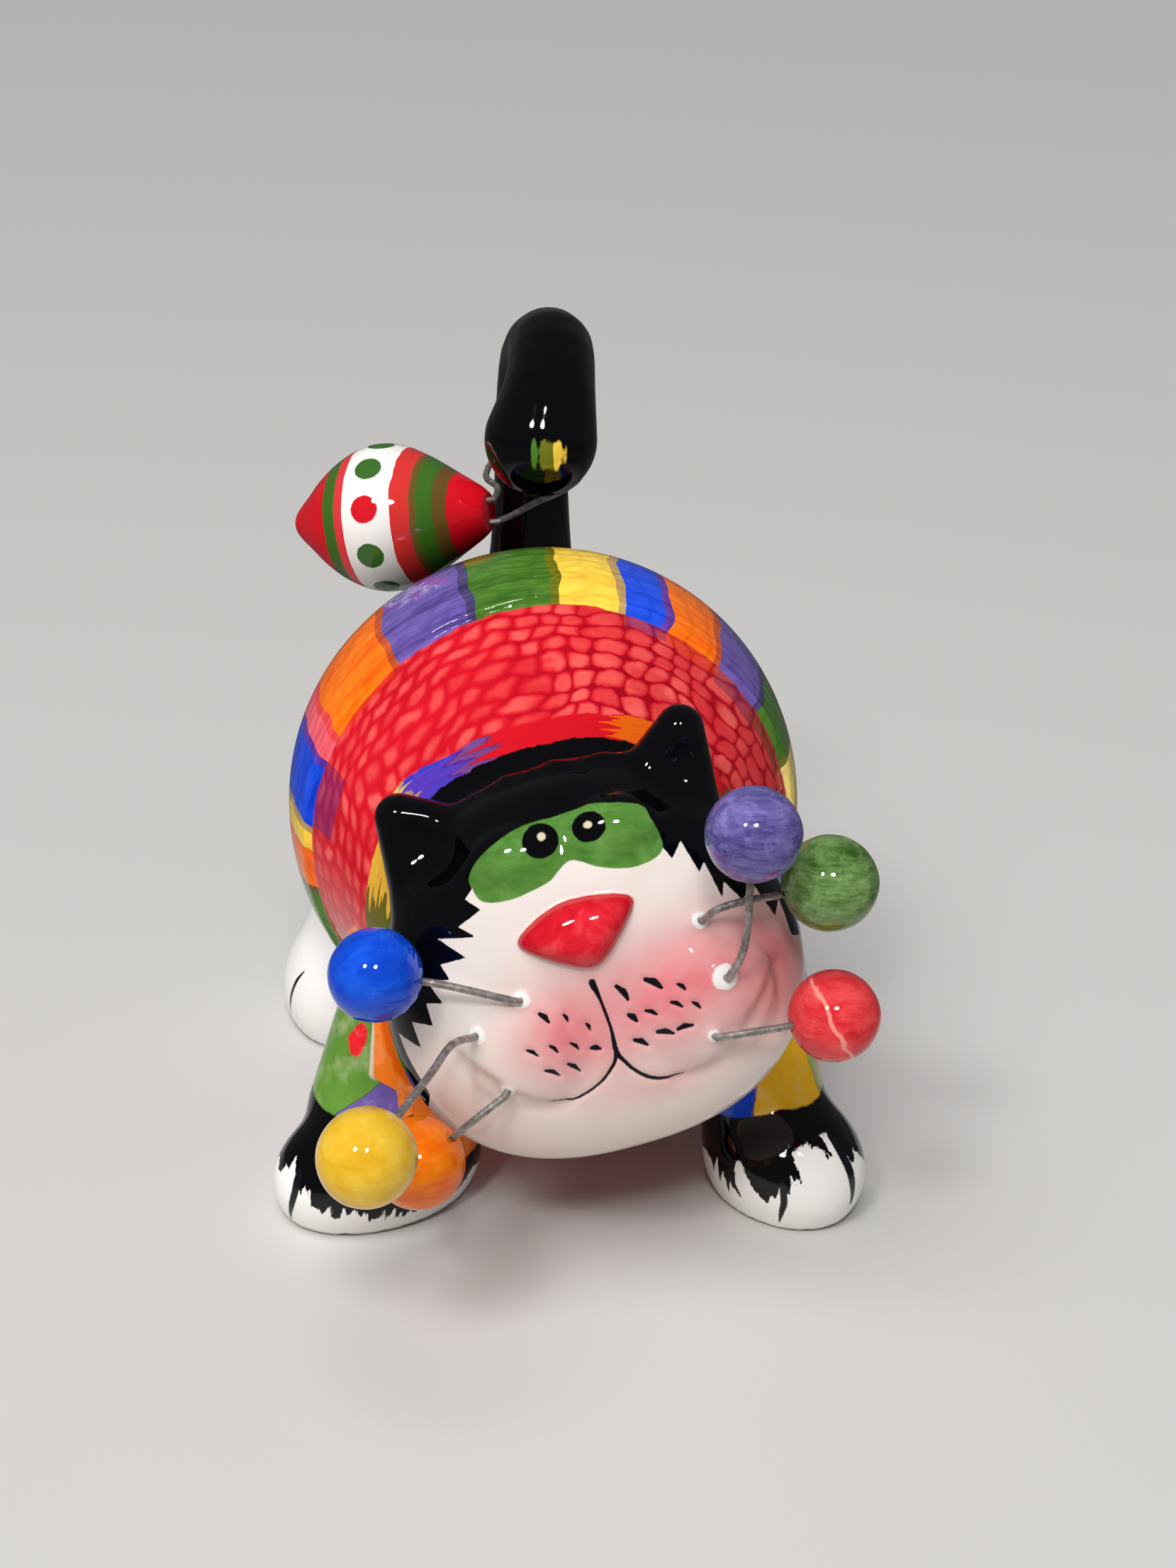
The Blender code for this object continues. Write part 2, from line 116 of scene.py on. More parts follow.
RIGHT_TOES = (
    ((33, 14.6, 0.6), (35, 12.8, 0.75), (37.2, 10.4, 0.75), (37.8, 7.6, 0.55), (37.4, 4.6, 0.2)),
    ((-9.4, 9.2, 0.5), (-7.3, 6.3, 0.5), (-8.1, 4.2, 0.4), (-8.6, 1.9, 0.12)),
)
LEFT_TOES = (((-38.0, 10.4, 0.6), (-37.8, 7.9, 0.55), (-39.9, 5.3, 0.45), (-44.0, 1.9, 0.15)),)
HIND_TOES = (
    ((-45, 12.6, 0.15), (-49.6, 10.8, 0.35), (-52.5, 8.4, 0.4), (-55.2, 5.6, 0.35), (-58.6, 2.4, 0.12)),
    ((20, 9, 0.3), (24, 5.5, 0.25), (27, 2.5, 0.12)),
)

# Legs: the paw's middle, radii and turn, the two balls of the leg above it as x, y, z and radius, and the
# paw's paint with the middle that its degrees are taken from
LEGS = (
    {
        "paw": (-26.9, -34.9, 6.0), "radii": (11.0, 17.0, 11.5), "turn": -64.0,
        "ankle": (-28.0, -30.0, 13.0, 9.8), "shoulder": (-19.0, -20.0, 36.0, 11.0),
        "painted_from": (-30.9, -33.8), "fur": LEFT_PAW_FUR, "toes": LEFT_TOES,
    },
    {
        "paw": (36.5, -35.1, 6.0), "radii": (11.5, 14.0, 11.5), "turn": 33.0,
        "ankle": (33.4, -30.0, 13.0, 9.8), "shoulder": (28.4, -20.0, 36.0, 11.0),
        "painted_from": (36.0, -34.0), "fur": RIGHT_PAW_FUR, "toes": RIGHT_TOES,
    },
    {
        "paw": (-30.2, 22.0, 6.5), "radii": (12.1, 14.9, 12.5), "turn": -10.0,
        "ankle": (-29.0, 24.0, 12.0, 10.0), "shoulder": (-24.0, 22.0, 30.0, 12.0),
        "painted_from": (-30.2, 22.0), "toes": HIND_TOES,
    },
    {
        "paw": (30.2, 22.0, 6.5), "radii": (12.1, 14.9, 12.5), "turn": 10.0,
        "ankle": (29.0, 24.0, 12.0, 10.0), "shoulder": (24.0, 22.0, 30.0, 12.0),
        "painted_from": (30.2, 22.0), "toes": HIND_TOES, "mirrored": True,
    },
)

PAW_SOFTNESS = 4.0
LEG_SOFTNESS = 5.0

# Tail: x, y, z and radius along its middle line
TAIL_SOFTNESS = 4.0
# The tail is worked out only above and behind these
TAIL_ABOVE = 58.0
TAIL_BEHIND = 8.0
TAIL_ROUTE = (
    (0.0, 40.0, 68.0, 8.2),
    (0.0, 46.5, 85.0, 6.6),
    (-0.5, 47.2, 101.0, 6.3),
    (0.0, 42.4, 113.0, 6.75),
    (0.8, 33.0, 116.6, 6.85),
    (0.0, 26.0, 111.4, 7.5),
    (-1.2, 23.5, 104.6, 9.1),
)

# Whiskers: where the wire leaves the face, how it leaves, its bends, the bead and the glaze ring's radius
WIRE_RADIUS = 0.54
WIRE_SUNK = 2.4
WHISKERS = {
    "blue": {
        "mouth": (-8.5, -58.4, 48.1), "leaves": (-0.45, -0.88, 0.15), "ring": 1.25,
        "bends": ((-15.8, -58.8, 49.9), (-20.4, -58.2, 50.7)), "bead": (-28.6, -57.0, 51.4), "radius": 6.6,
    },
    "yellow": {
        "mouth": (-14.4, -58.6, 42.7), "leaves": (-0.5, -0.85, 0.15), "ring": 1.3,
        "bends": ((-18.2, -63.3, 44.0), (-21.1, -68.6, 43.0), (-24.4, -74.6, 42.1)),
        "bead": (-30.1, -85.4, 40.8), "radius": 6.55,
    },
    "orange": {
        "mouth": (-10.1, -61.2, 35.1), "leaves": (-0.4, -0.85, -0.3), "ring": 1.1,
        "bends": ((-14.1, -63.2, 32.4), (-17.6, -62.6, 28.6)), "bead": (-22.2, -61.6, 23.8), "radius": 6.6,
    },
    "purple": {
        "mouth": (19.3, -60.3, 52.7), "leaves": (0.35, -0.9, 0.25), "ring": 1.8,
        "bends": ((20.9, -62.3, 57.0), (21.4, -62.3, 61.0), (21.3, -62.2, 66.2)),
        "bead": (21.0, -62.4, 75.5), "radius": 6.6,
    },
    "green": {
        "mouth": (15.9, -56.1, 59.3), "leaves": (0.3, -0.85, 0.45), "ring": 1.2,
        "bends": ((17.9, -57.8, 61.8), (21.6, -57.8, 63.1), (26.6, -57.7, 64.0)),
        "bead": (33.4, -57.4, 65.7), "radius": 6.75,
    },
    "red": {
        "mouth": (18.0, -62.3, 44.6), "leaves": (0.5, -0.85, 0.05), "ring": 0.95,
        "bends": ((22.4, -63.8, 45.8), (27.7, -63.2, 46.3)), "bead": (34.9, -61.8, 47.3), "radius": 6.5,
    },
}

# Ornament on the tail and its hanger
ORNAMENT_PLACE = (-24.5, 37.0, 86.7)
ORNAMENT_AXIS = (0.909, -0.365, 0.202)
ORNAMENT_LENGTH = 35.0
ORNAMENT_PROFILE = (
    (0.0, 0.0), (0.012, 1.5), (0.04, 2.8), (0.1, 4.8), (0.19, 7.8), (0.29, 10.3), (0.4, 12.0), (0.5, 12.4),
    (0.6, 11.7), (0.72, 9.7), (0.85, 6.9), (0.95, 4.7), (0.985, 3.75), (1.0, 3.2),
)
HANGER_HOLE_SPACING = 1.9
HANGER_INSIDE = 2.2
HANGER_STRAIGHT = 1.2
HANGER_BENDS = (
    (-4.4, 31.9, 89.3), (-0.6, 35.6, 90.2), (5.0, 39.6, 91.6), (8.2, 46.4, 92.2), (6.0, 53.0, 92.4),
    (0.0, 55.3, 92.3), (-6.2, 52.8, 92.2), (-8.0, 46.6, 92.2), (-8.3, 40.0, 92.9), (-7.0, 33.4, 93.4),
)

# Dots round the ornament's white band: degrees down from the spot that faces the viewer
ORNAMENT_STEPS = 96
DOT_SHARE = 0.505
DOT_RADIUS = 2.3
RED_DOTS = (-8, 101, 209)
GREEN_DOTS = (-43, 29, 67, 137, 173, 245, 281)

# Camera: the photograph's viewing angle
CAMERA_PLACE = np.array((-36.2, -325.6, 202.0))
CAMERA_TURN = -7.5
CAMERA_PITCH = 24.2
CAMERA_ROLL = 3.4
CAMERA_LENS = 51.27

# Light and floor, in metres
LIT_SPOT = (0.0, 0.0, 0.04)
ROOM_COLOUR = (0.93, 0.96, 1.0, 1.0)
ROOM_STRENGTH = 0.11
SKY_PLACE = (-0.32, -0.34, 1.0)
SKY_WIDTH = 50.0
SKY_STRENGTH = 2.25
LAMPS = {"front lamp right": (-0.08, -0.75, 0.86), "front lamp left": (-0.45, -0.62, 0.84)}
LAMP_SIZE = 0.16
LAMP_POWER = 2.2
FLOOR_REACH = 4.0

# Paint on the face, as (right, up) on the face
MASK_EDGE = (
    (-12.1, 18.4), (-10, 20.6), (-6.1, 22.4), (-2.5, 23.2), (1.9, 23.2), (4.8, 23.3), (7.7, 23.3),
    (13.4, 21.4), (14.3, 19.4), (14.9, 17.4), (14.9, 15.1), (13.6, 14.2), (10.7, 13.9), (7.9, 14.5),
    (5.4, 15.5), (3.3, 16.8), (2, 17.2), (0.7, 16.6), (-1.4, 15.3), (-4, 14.7), (-7, 14.3), (-9.8, 14.5),
    (-11.5, 15.4), (-12, 17.1),
)
FUR_EDGE = (
    (-12.1, 18.4), (-12, 16.9), (-13.4, 15.8), (-11.6, 14), (-15.4, 12.4), (-13.1, 10.5), (-18.7, 11.4),
    (-15.4, 8.1), (-19.3, 7.9), (-18.6, 5.6), (-21.9, 5.9), (-20.5, 2.5), (-22.9, 2.9), (-22.9, -0.4),
    (-25.8, 0.5), (-25.6, -3.5), (-28.4, -1.2), (-28.3, -3.2), (-28, -5.2), (-27.6, -7), (-27, -9.2),
    (-26.6, -10.8), (-27.6, -13), (-31.5, -18), (-29, -24), (-60, -60), (-90, 0), (-60, 60), (0, 90),
    (60, 60), (90, 0), (40, -16), (31.8, -5.5), (29, -3.2), (28.6, 2.4), (27.4, 0.5), (25.6, 5.9),
    (23.5, 4.7), (21.7, 8), (20.9, 6), (19.8, 11.5), (18.8, 10.4), (17.5, 15.2), (15.7, 13.3), (14.9, 15.1),
    (10, 18), (2, 19.5), (-6, 18.6),
)
PUPILS = ((-1.1, 20.7, 2.55, 2.25), (5.85, 20.7, 2.35, 1.95))
GLINTS = ((-0.8, 21.2, 0.6, 0.55), (5.8, 21.0, 0.6, 0.45))
MOUTH_STROKES = (
    ((0.4, 0.3, 0.5), (0.5, -0.5, 0.46), (0.8, -2.2, 0.25), (1.1, -6.7, 0.24), (0.9, -10.2, 0.38),
     (1.5, -11.8, 0.3), (2.8, -14, 0.28), (5.1, -15.9, 0.3), (9, -16.7, 0.1)),
    ((0.9, -10.2, 0.36), (0.2, -11.8, 0.26), (-2.1, -13.9, 0.22), (-4.9, -15.2, 0.2), (-7.5, -15.7, 0.17),
     (-10.1, -15.5, 0.06)),
)
MOUTH_DASHES = (
    (-7.8, -2, -6.9, -3.5, 0.42), (-4.6, -3, -4.3, -4.1, 0.27), (-2, -5.1, -1.7, -6.2, 0.27),
    (-11, -6.7, -9.7, -7.9, 0.3), (-7.7, -6.9, -6.9, -8.1, 0.3), (-4.8, -7.3, -3.9, -8.5, 0.27),
    (-2.2, -8.8, -1.1, -9.2, 0.42), (-9.3, -10.3, -7.6, -11.5, 0.33), (-6, -10.2, -4.7, -11.6, 0.33),
    (3.5, -1.2, 4.5, -3.5, 0.45), (7.6, -1.4, 9.4, -3.2, 0.5), (11.7, -3.4, 12.5, -4.5, 0.33),
    (10.1, -5.6, 11.4, -6.7, 0.33), (13, -6.6, 13.8, -7.8, 0.3), (4, -5.6, 4.8, -6.8, 0.45),
    (6.4, -5.7, 7.7, -6.7, 0.33), (10, -9.7, 12.1, -9.8, 0.4), (7.1, -9.2, 9.2, -10.1, 0.42),
    (3.8, -9.4, 5.3, -10.6, 0.42),
)
SMILE_CREASES = (
    ((-8, -15.9, 0.5), (-10.1, -15.8, 0.7), (-12.9, -14.6, 0.8), (-15.5, -12.5, 0.85), (-18.1, -9.5, 0.85),
     (-20, -6.9, 0.8), (-21.4, -3.8, 0.3)),
    ((8, -16.9, 0.5), (11.7, -17, 0.7), (15.2, -15.9, 0.8), (18.1, -14.3, 0.85), (20.9, -11.6, 0.85),
     (23.6, -9, 0.7), (25.6, -5.5, 0.3)),
)
BLUSHES = (
    (-4.2, -5.8, 8.2, 8.2, 0.85), (9, -4.2, 10, 8.6, 0.85), (18, -2.5, 8.5, 7.5, 0.72),
    (26, -4.5, 4.5, 8, 0.75), (6, -17, 7.5, 2.6, 0.35), (21, -11, 5, 4.5, 0.4), (-9, -8, 5, 5, 0.2),
)

# Band over the back: how far in front of the belly's middle its edge runs and how much further at the sides,
# then how high it stands over the red, and where behind that edge it rises and falls again
BAND_EDGE = 13.2
BAND_BOW = 2.6
BAND_HEIGHT = 0.9
BAND_RISE = 0.8
BAND_FALL = 22.0

# What stands out of the skin or sinks in: the edge it follows, its height, how far inside that edge it is
# at its fullest, and how wide it fades
RELIEFS = (("crease", -0.62, 0.8, 1.1), ("ink", -0.16, 0.0, 0.35), ("ring", 0.45, 0.7, 0.8))

# Where the left half's paint meets the right half's, and the front legs' paint the hind legs'
SIDES_MEET = 2.0
ENDS_MEET = -6.0

# How far from the head its own paint ends and the legs' paint begins, and how high the paws' and the
# sleeves' paint goes
HEAD_PAINT_REACH = 2.5
HEAD_CLEAR = 0.8
PAW_TOP = 19.0
SLEEVE_TOP = 44.0

# The skin's first grid: its lowest and highest corners and its step
SKIN_GRID = ((-46.0, -65.0, -1.2), (51.0, 57.0, 126.0), 1.2)
# The distance that stands for far from any paint
FAR = 9.0


def srgb(red, green, blue):
    """A paint colour from its everyday 0 to 255 values, as Blender's linear values."""
    parts = [value / 255.0 for value in (red, green, blue)]
    return (*[part / 12.92 if part <= 0.04045 else ((part + 0.055) / 1.055) ** 2.4 for part in parts], 1.0)


# ---------------------------------------------------------------- shape of the cat

def turned(degrees, axis):
    return np.array(Matrix.Rotation(math.radians(degrees), 3, axis))


HEAD_AXES = turned(-6.0, "Z") @ turned(-15.0, "X") @ turned(-19.0, "Y")


def lengths(rows):
    return np.linalg.norm(rows, axis=1)


def from_line(points, start, end):
    """Each point's distance to the line between two places, and the share along it where it is nearest."""
    line, local = end - start, points - start
    share = np.clip(local @ line / max(line @ line, 1e-9), 0.0, 1.0)
    return lengths(local - share[:, None] * line), share


def ball(points, centre, radii, axes=None):
    """Distance to a squashed ball."""
    local = points - np.asarray(centre)
    if axes is not None:
        local = local @ axes
    radii = np.asarray(radii)
    reach = lengths(local / radii)
    slope = lengths(local / radii ** 2)
    return reach * (reach - 1.0) / np.maximum(slope, 1e-9)


def taper(points, start, end):
    """Distance to the hull of two balls, each given as x, y, z and radius."""
    start, end = np.asarray(start), np.asarray(end)
    line = end[:3] - start[:3]
    length = line @ line
    narrowing = start[3] - end[3]
    kept = length - narrowing ** 2
    local = points - start[:3]
    along = local @ line
    past = along - length
    aside = ((local * length - along[:, None] * line) ** 2).sum(axis=1)
    bound = math.copysign(1.0, narrowing) * narrowing ** 2 * aside
    middle = (np.sqrt(np.maximum(aside * kept / length, 0.0)) + along * narrowing) / length - start[3]
    at_end = np.sqrt(aside + past ** 2 * length) / length - end[3]
    at_start = np.sqrt(aside + along ** 2 * length) / length - start[3]
    beyond = np.sign(past) * kept * past ** 2 * length > bound
    before = np.sign(along) * kept * along ** 2 * length < bound
    return np.where(beyond, at_end, np.where(before, at_start, middle))


def plate(points, corners):
    """Distance to a rounded three-cornered plate; each corner is x, y, z and radius."""
    corners = np.asarray(corners, float)
    distance = np.full(len(points), 1e9)
    for first, second in ((0, 1), (1, 2), (2, 0)):
        off, share = from_line(points, corners[first, :3], corners[second, :3])
        radius = corners[first, 3] + (corners[second, 3] - corners[first, 3]) * share
        distance = np.minimum(distance, off - radius)
    one, two = corners[1, :3] - corners[0, :3], corners[2, :3] - corners[0, :3]
    local = points - corners[0, :3]
    normal = np.cross(one, two)
    area = normal @ normal
    along_one = np.cross(local, two) @ normal / area
    along_two = -np.cross(local, one) @ normal / area
    within = (along_one > 0.0) & (along_two > 0.0) & (along_one + along_two < 1.0)
    rest = 1.0 - along_one - along_two
    radius = corners[0, 3] * rest + corners[1, 3] * along_one + corners[2, 3] * along_two
    flat = np.abs(local @ normal) / math.sqrt(area) - radius
    return np.where(within, np.minimum(flat, distance), distance)


def join(one, two, softness):
    """Distance to both shapes, melted together over the softness."""
    near = np.maximum(softness - np.abs(one - two), 0.0) / softness
    return np.minimum(one, two) - near ** 3 * softness / 6.0


def carve(one, two, softness):
    """Distance to the first shape with the second taken out."""
    return -join(-one, two, softness)


def span_counts(points, step):
    """How many steps each stretch between two points takes."""
    stretches = lengths(np.diff(np.asarray(points, float)[:, :3], axis=0))
    return np.maximum(np.round(stretches / step).astype(int), 1)


def smooth_route(points, step):
    """Points about a step apart on a smooth curve through the given ones."""
    points = np.asarray(points, float)
    counts = span_counts(points, step)
    padded = np.vstack([2.0 * points[0] - points[1], points, 2.0 * points[-1] - points[-2]])
    route = []
    for before, start, end, after, count in zip(padded, padded[1:], padded[2:], padded[3:], counts):
        for share in np.arange(count) / count:
            route.append(0.5 * (
                2.0 * start + (end - before) * share
                + (2.0 * before - 5.0 * start + 4.0 * end - after) * share ** 2
                + (3.0 * start - before - 3.0 * end + after) * share ** 3
            ))
    return np.array(route + [points[-1]])


def brow_width(up):
    return 1.0 - BROW_NARROWING * (1.0 + np.tanh((up - BROW_HEIGHT) / BROW_SPREAD))


def face_reach(right, up):
    """How near the face's outline a spot lies: 0 in the middle and 1 at the outline."""
    aside, above = right / (HEAD_RADII[0] * brow_width(up)), up / HEAD_RADII[2]
    return (np.abs(aside) ** HEAD_POWER + np.abs(above) ** HEAD_POWER) ** (1.0 / HEAD_POWER)


def face_front(right, up):
    """How far the plain face stands out from the head's middle."""
    return HEAD_RADII[1] * np.maximum(1.0 - face_reach(right, up) ** HEAD_POWER, 0.0) ** (1.0 / HEAD_POWER)


def head_skin(local):
    """Distance to the plain head, in its own right, back and up directions."""
    sizes = np.stack([HEAD_RADII[0] * brow_width(local[:, 2]), np.full(len(local), HEAD_RADII[1]),
                      np.full(len(local), HEAD_RADII[2])], axis=1)
    parts = np.abs(local) / sizes
    reach = np.maximum((parts ** HEAD_POWER).sum(axis=1) ** (1.0 / HEAD_POWER), 1e-6)
    slope = lengths((parts / reach[:, None]) ** (HEAD_POWER - 1.0) / sizes)
    return (reach - 1.0) / slope


def on_face(right, up, lift, radius=None):
    """A spot at a height over the plain face, in the head's directions."""
    spot = (right, -(float(face_front(right, up)) + lift), up)
    return spot if radius is None else (*spot, radius)


def joined_near(field, points, centre, reach, shape, softness):
    """Joins a small shape to the field, worked out only within reach of its centre."""
    near = lengths(points - np.asarray(centre)) < reach
    field[near] = join(field[near], shape(points[near]), softness)


def head_field(local):
    """Distance to the head with its cheeks, eyes, nose, ears and lip."""
    field = head_skin(local)
    for spot, radii in zip(CHEEKS, CHEEK_RADII):
        middle = on_face(*spot, -CHEEK_DEPTH)
        joined_near(field, local, middle, 17.0, lambda near: ball(near, middle, radii), CHEEK_SOFTNESS)
    for spot in EYES:
        middle = on_face(*spot, -EYE_DEPTH)
        joined_near(field, local, middle, 13.0, lambda near: ball(near, middle, EYE_RADII), EYE_SOFTNESS)
    joined_near(field, local, on_face(*NOSE_MIDDLE, 0.0), 13.0, nose_pad, NOSE_SOFTNESS)
    for ear in EARS:
        corners = [(right, -EAR_FRONT, up, EAR_BASE_RADIUS) for right, up in ear["base"]]
        corners.append((ear["tip"][0], -EAR_FRONT, ear["tip"][1], EAR_TIP_RADIUS))
        joined_near(field, local, corners[2][:3], 24.0, lambda near: plate(near, corners), EAR_SOFTNESS)
        scoop = (ear["scoop"][0], -EAR_SCOOP_FRONT, ear["scoop"][1])
        near = lengths(local - scoop) < EAR_SCOOP_RADIUS + 4.0
        hollow = ball(local[near], scoop, (EAR_SCOOP_RADIUS,) * 3)
        field[near] = carve(field[near], hollow, EAR_SCOOP_SOFTNESS)
    lip = [(right, -LIP_FRONT, up, LIP_RADIUS) for right, up in LIP]
    for start, end in zip(lip, lip[1:]):
        joined_near(field, local, start[:3], 14.0, lambda near: taper(near, start, end), LIP_SOFTNESS)
    return field


def nose_outline(right, up):
    """Distance to the nose's rounded outline on the face, below zero inside it."""
    sides = np.stack([right * math.cos(math.radians(turn)) + up * math.sin(math.radians(turn)) - reach
                      for turn, reach in NOSE_SIDES])
    return NOSE_ROUNDING * np.log(np.exp(sides / NOSE_ROUNDING).sum(axis=0))


def nose_pad(points):
    """A plump pad that rises from the nose's outline to a rounded crown."""
    over = -points[:, 1] - face_front(points[:, 0], points[:, 2])
    inward = np.maximum(nose_outline(points[:, 0], points[:, 2]) + NOSE_SHOULDER, 0.0)
    return (np.hypot(inward / NOSE_SHOULDER, over / NOSE_HEIGHT) - 1.0) * min(NOSE_SHOULDER, NOSE_HEIGHT)


def leg_cone(points, leg):
    return taper(points, leg["ankle"], leg["shoulder"])


TAIL = smooth_route(TAIL_ROUTE, 3.0)


def cat_field(points):
    """Distance to the whole cat."""
    chest = ball(points, CHEST_PLACE, CHEST_RADII)
    torso = join(ball(points, TORSO_PLACE, TORSO_RADII), chest, CHEST_SOFTNESS)
    for leg in LEGS:
        paw = ball(points, leg["paw"], leg["radii"], turned(leg["turn"], "Z"))
        torso = join(torso, join(paw, leg_cone(points, leg), PAW_SOFTNESS), LEG_SOFTNESS)
    high = np.nonzero((points[:, 2] > TAIL_ABOVE) & (points[:, 1] > TAIL_BEHIND))[0]
    tail = np.full(len(high), 1e9)
    for start, end in zip(TAIL, TAIL[1:]):
        tail = np.minimum(tail, taper(points[high], start, end))
    torso[high] = join(torso[high], tail, TAIL_SOFTNESS)
    whole = join(torso, head_field((points - HEAD_PLACE) @ HEAD_AXES), HEAD_SOFTNESS)
    return -join(-whole, points[:, 2], FLOOR_SOFTNESS)


def grid_skin(field, low, high, step):
    """A closed skin of four-sided faces at the field's zero, one point in each cell that it crosses."""
    low, high = np.asarray(low), np.asarray(high)
    counts = np.ceil((high - low) / step).astype(int) + 1
    axes = [low[side] + step * np.arange(counts[side]) for side in range(3)]
    grid = np.stack(np.meshgrid(*axes, indexing="ij"), axis=-1)
    values = field(grid.reshape(-1, 3)).reshape(counts)
    total = np.zeros((*(counts - 1), 3))
    hits = np.zeros(counts - 1)
    for axis in range(3):
        for one in (0, 1):
            for two in (0, 1):
                start = [slice(0, -1)] * 3
                start[(axis + 1) % 3] = slice(one, counts[(axis + 1) % 3] - 1 + one)
                start[(axis + 2) % 3] = slice(two, counts[(axis + 2) % 3] - 1 + two)
                end = list(start)
                end[axis] = slice(1, None)
                first, last = values[tuple(start)], values[tuple(end)]
                crossed = (first < 0.0) != (last < 0.0)
                share = np.where(crossed, first / np.where(crossed, first - last, 1.0), 0.0)
                point = grid[tuple(start)].copy()
                point[..., axis] += share * step
                total += point * crossed[..., None]
                hits += crossed
    filled = hits > 0
    number = np.full(hits.shape, -1)
    number[filled] = np.arange(filled.sum())
    points = total[filled] / hits[filled][:, None]
    quads = []
    for axis in range(3):
        one, two = (axis + 1) % 3, (axis + 2) % 3
        start, end = [slice(None)] * 3, [slice(None)] * 3
        start[axis], end[axis] = slice(0, -1), slice(1, None)
        first, last = values[tuple(start)], values[tuple(end)]
        cells = np.argwhere((first < 0.0) != (last < 0.0))
        cells = cells[(cells[:, one] > 0) & (cells[:, two] > 0)]
        ring = []
        for back_one, back_two in ((1, 1), (0, 1), (0, 0), (1, 0)):
            moved = cells.copy()
            moved[:, one] -= back_one
            moved[:, two] -= back_two
            ring.append(number[tuple(moved.T)])
        quad = np.stack(ring, axis=1)
        outward = first[tuple(cells.T)] < 0.0
        quad[~outward] = quad[~outward][:, ::-1]
        quads.append(quad)
    return points, np.vstack(quads)


def halved(points, quads):
    """Each four-sided face as two triangles, across its shorter way."""
    one = lengths(points[quads[:, 0]] - points[quads[:, 2]])
    two = lengths(points[quads[:, 1]] - points[quads[:, 3]])
    swap = two < one
    quads = quads.copy()
    quads[swap] = np.roll(quads[swap], 1, axis=1)
    return np.vstack([quads[:, [0, 1, 2]], quads[:, [0, 2, 3]]])


def edges_of(faces):
    """The skin's edges, and for each face the numbers of its three."""
    ends = np.sort(np.stack([faces, np.roll(faces, -1, axis=1)], axis=2).reshape(-1, 2), axis=1)
    edges, which = np.unique(ends[:, 0].astype(np.int64) << 32 | ends[:, 1], return_inverse=True)
    return np.stack([edges >> 32, edges & 0xFFFFFFFF], axis=1), which.reshape(-1, 3)


def slope_of(field, points, step=0.02):
    middle = field(points)
    slopes = [(field(points + offset) - middle) / step for offset in np.eye(3) * step]
    return middle, np.stack(slopes, axis=1)


def drawn_to(field, points, rounds):
    """The points moved on to the field's zero."""
    for _ in range(rounds):
        value, slope = slope_of(field, points)
        steepness = np.maximum((slope ** 2).sum(axis=1), 0.2)[:, None]
        points = points - np.clip(value, -1.0, 1.0)[:, None] * slope / steepness
    return points


def relaxed(points, edges, share):
    """Each point moved part of the way to the middle of its neighbours."""
    number = len(points)
    count = np.bincount(edges.ravel(), minlength=number)[:, None]
    middle = np.stack([
        np.bincount(edges[:, 0], points[edges[:, 1], side], number)
        + np.bincount(edges[:, 1], points[edges[:, 0], side], number) for side in range(3)
    ], axis=1) / count
    return points + (middle - points) * share


def split_long(points, faces, wanted):
    """Splits the edges that are longer than wanted, with no open seams left."""
    edges, which = edges_of(faces)
    length = lengths(points[edges[:, 0]] - points[edges[:, 1]])
    marked = length > 1.35 * np.minimum(wanted[edges[:, 0]], wanted[edges[:, 1]])
    middle = np.full(len(edges), -1)
    middle[marked] = len(points) + np.arange(marked.sum())
    new_points = (points[edges[marked, 0]] + points[edges[marked, 1]]) / 2.0
    count = marked[which].sum(axis=1)
    made = [faces[count == 0]]
    for number in (1, 2, 3):
        chosen = np.nonzero(count == number)[0]
        if not len(chosen):
            continue
        marks = marked[which[chosen]]
        first = np.argmax(marks, axis=1) if number == 1 else (np.argmin(marks, axis=1) + 1) % 3
        order = (first[:, None] + np.arange(3)) % 3
        rows = np.arange(len(chosen))[:, None]
        a, b, c = faces[chosen][rows, order].T
        ab, bc, ca = middle[which[chosen]][rows, order].T
        if number == 1:
            made += [np.stack([a, ab, c], axis=1), np.stack([ab, b, c], axis=1)]
        elif number == 2:
            both = np.vstack([points, new_points])
            short = lengths(both[a] - both[bc]) < lengths(both[ab] - both[c])
            made.append(np.stack([ab, b, bc], axis=1))
            made.append(np.where(short[:, None], np.stack([a, ab, bc], axis=1), np.stack([a, ab, c], axis=1)))
            made.append(np.where(short[:, None], np.stack([a, bc, c], axis=1), np.stack([ab, bc, c], axis=1)))
        else:
            made += [np.stack([a, ab, ca], axis=1), np.stack([ab, b, bc], axis=1),
                     np.stack([ca, bc, c], axis=1), np.stack([ab, bc, ca], axis=1)]
    return np.vstack([points, new_points]), np.vstack(made)


# ---------------------------------------------------------------- where the paint lies on the cat

def inside_edge(spots, outline):
    """Distance to a painted outline, negative inside it."""
    outline = np.asarray(outline)
    distance = np.full(len(spots), 1e9)
    inside = np.zeros(len(spots), bool)
    for start, end in zip(outline, np.roll(outline, -1, axis=0)):
        distance = np.minimum(distance, from_line(spots, start, end)[0])
        spans = (start[1] > spots[:, 1]) != (end[1] > spots[:, 1])
        run, rise = end - start
        rise = rise if abs(rise) > 1e-9 else 1e-9
        inside ^= spans & (spots[:, 0] < start[0] + (spots[:, 1] - start[1]) * run / rise)
    return np.where(inside, -distance, distance)


def rounded(outline, step=0.7):
    """A closed outline drawn as one smooth curve."""
    around = [*outline[-2:], *outline, *outline[:2]]
    counts = span_counts(around, step)
    return smooth_route(around, step)[counts[0] + counts[1]:-1 - counts[-1]]


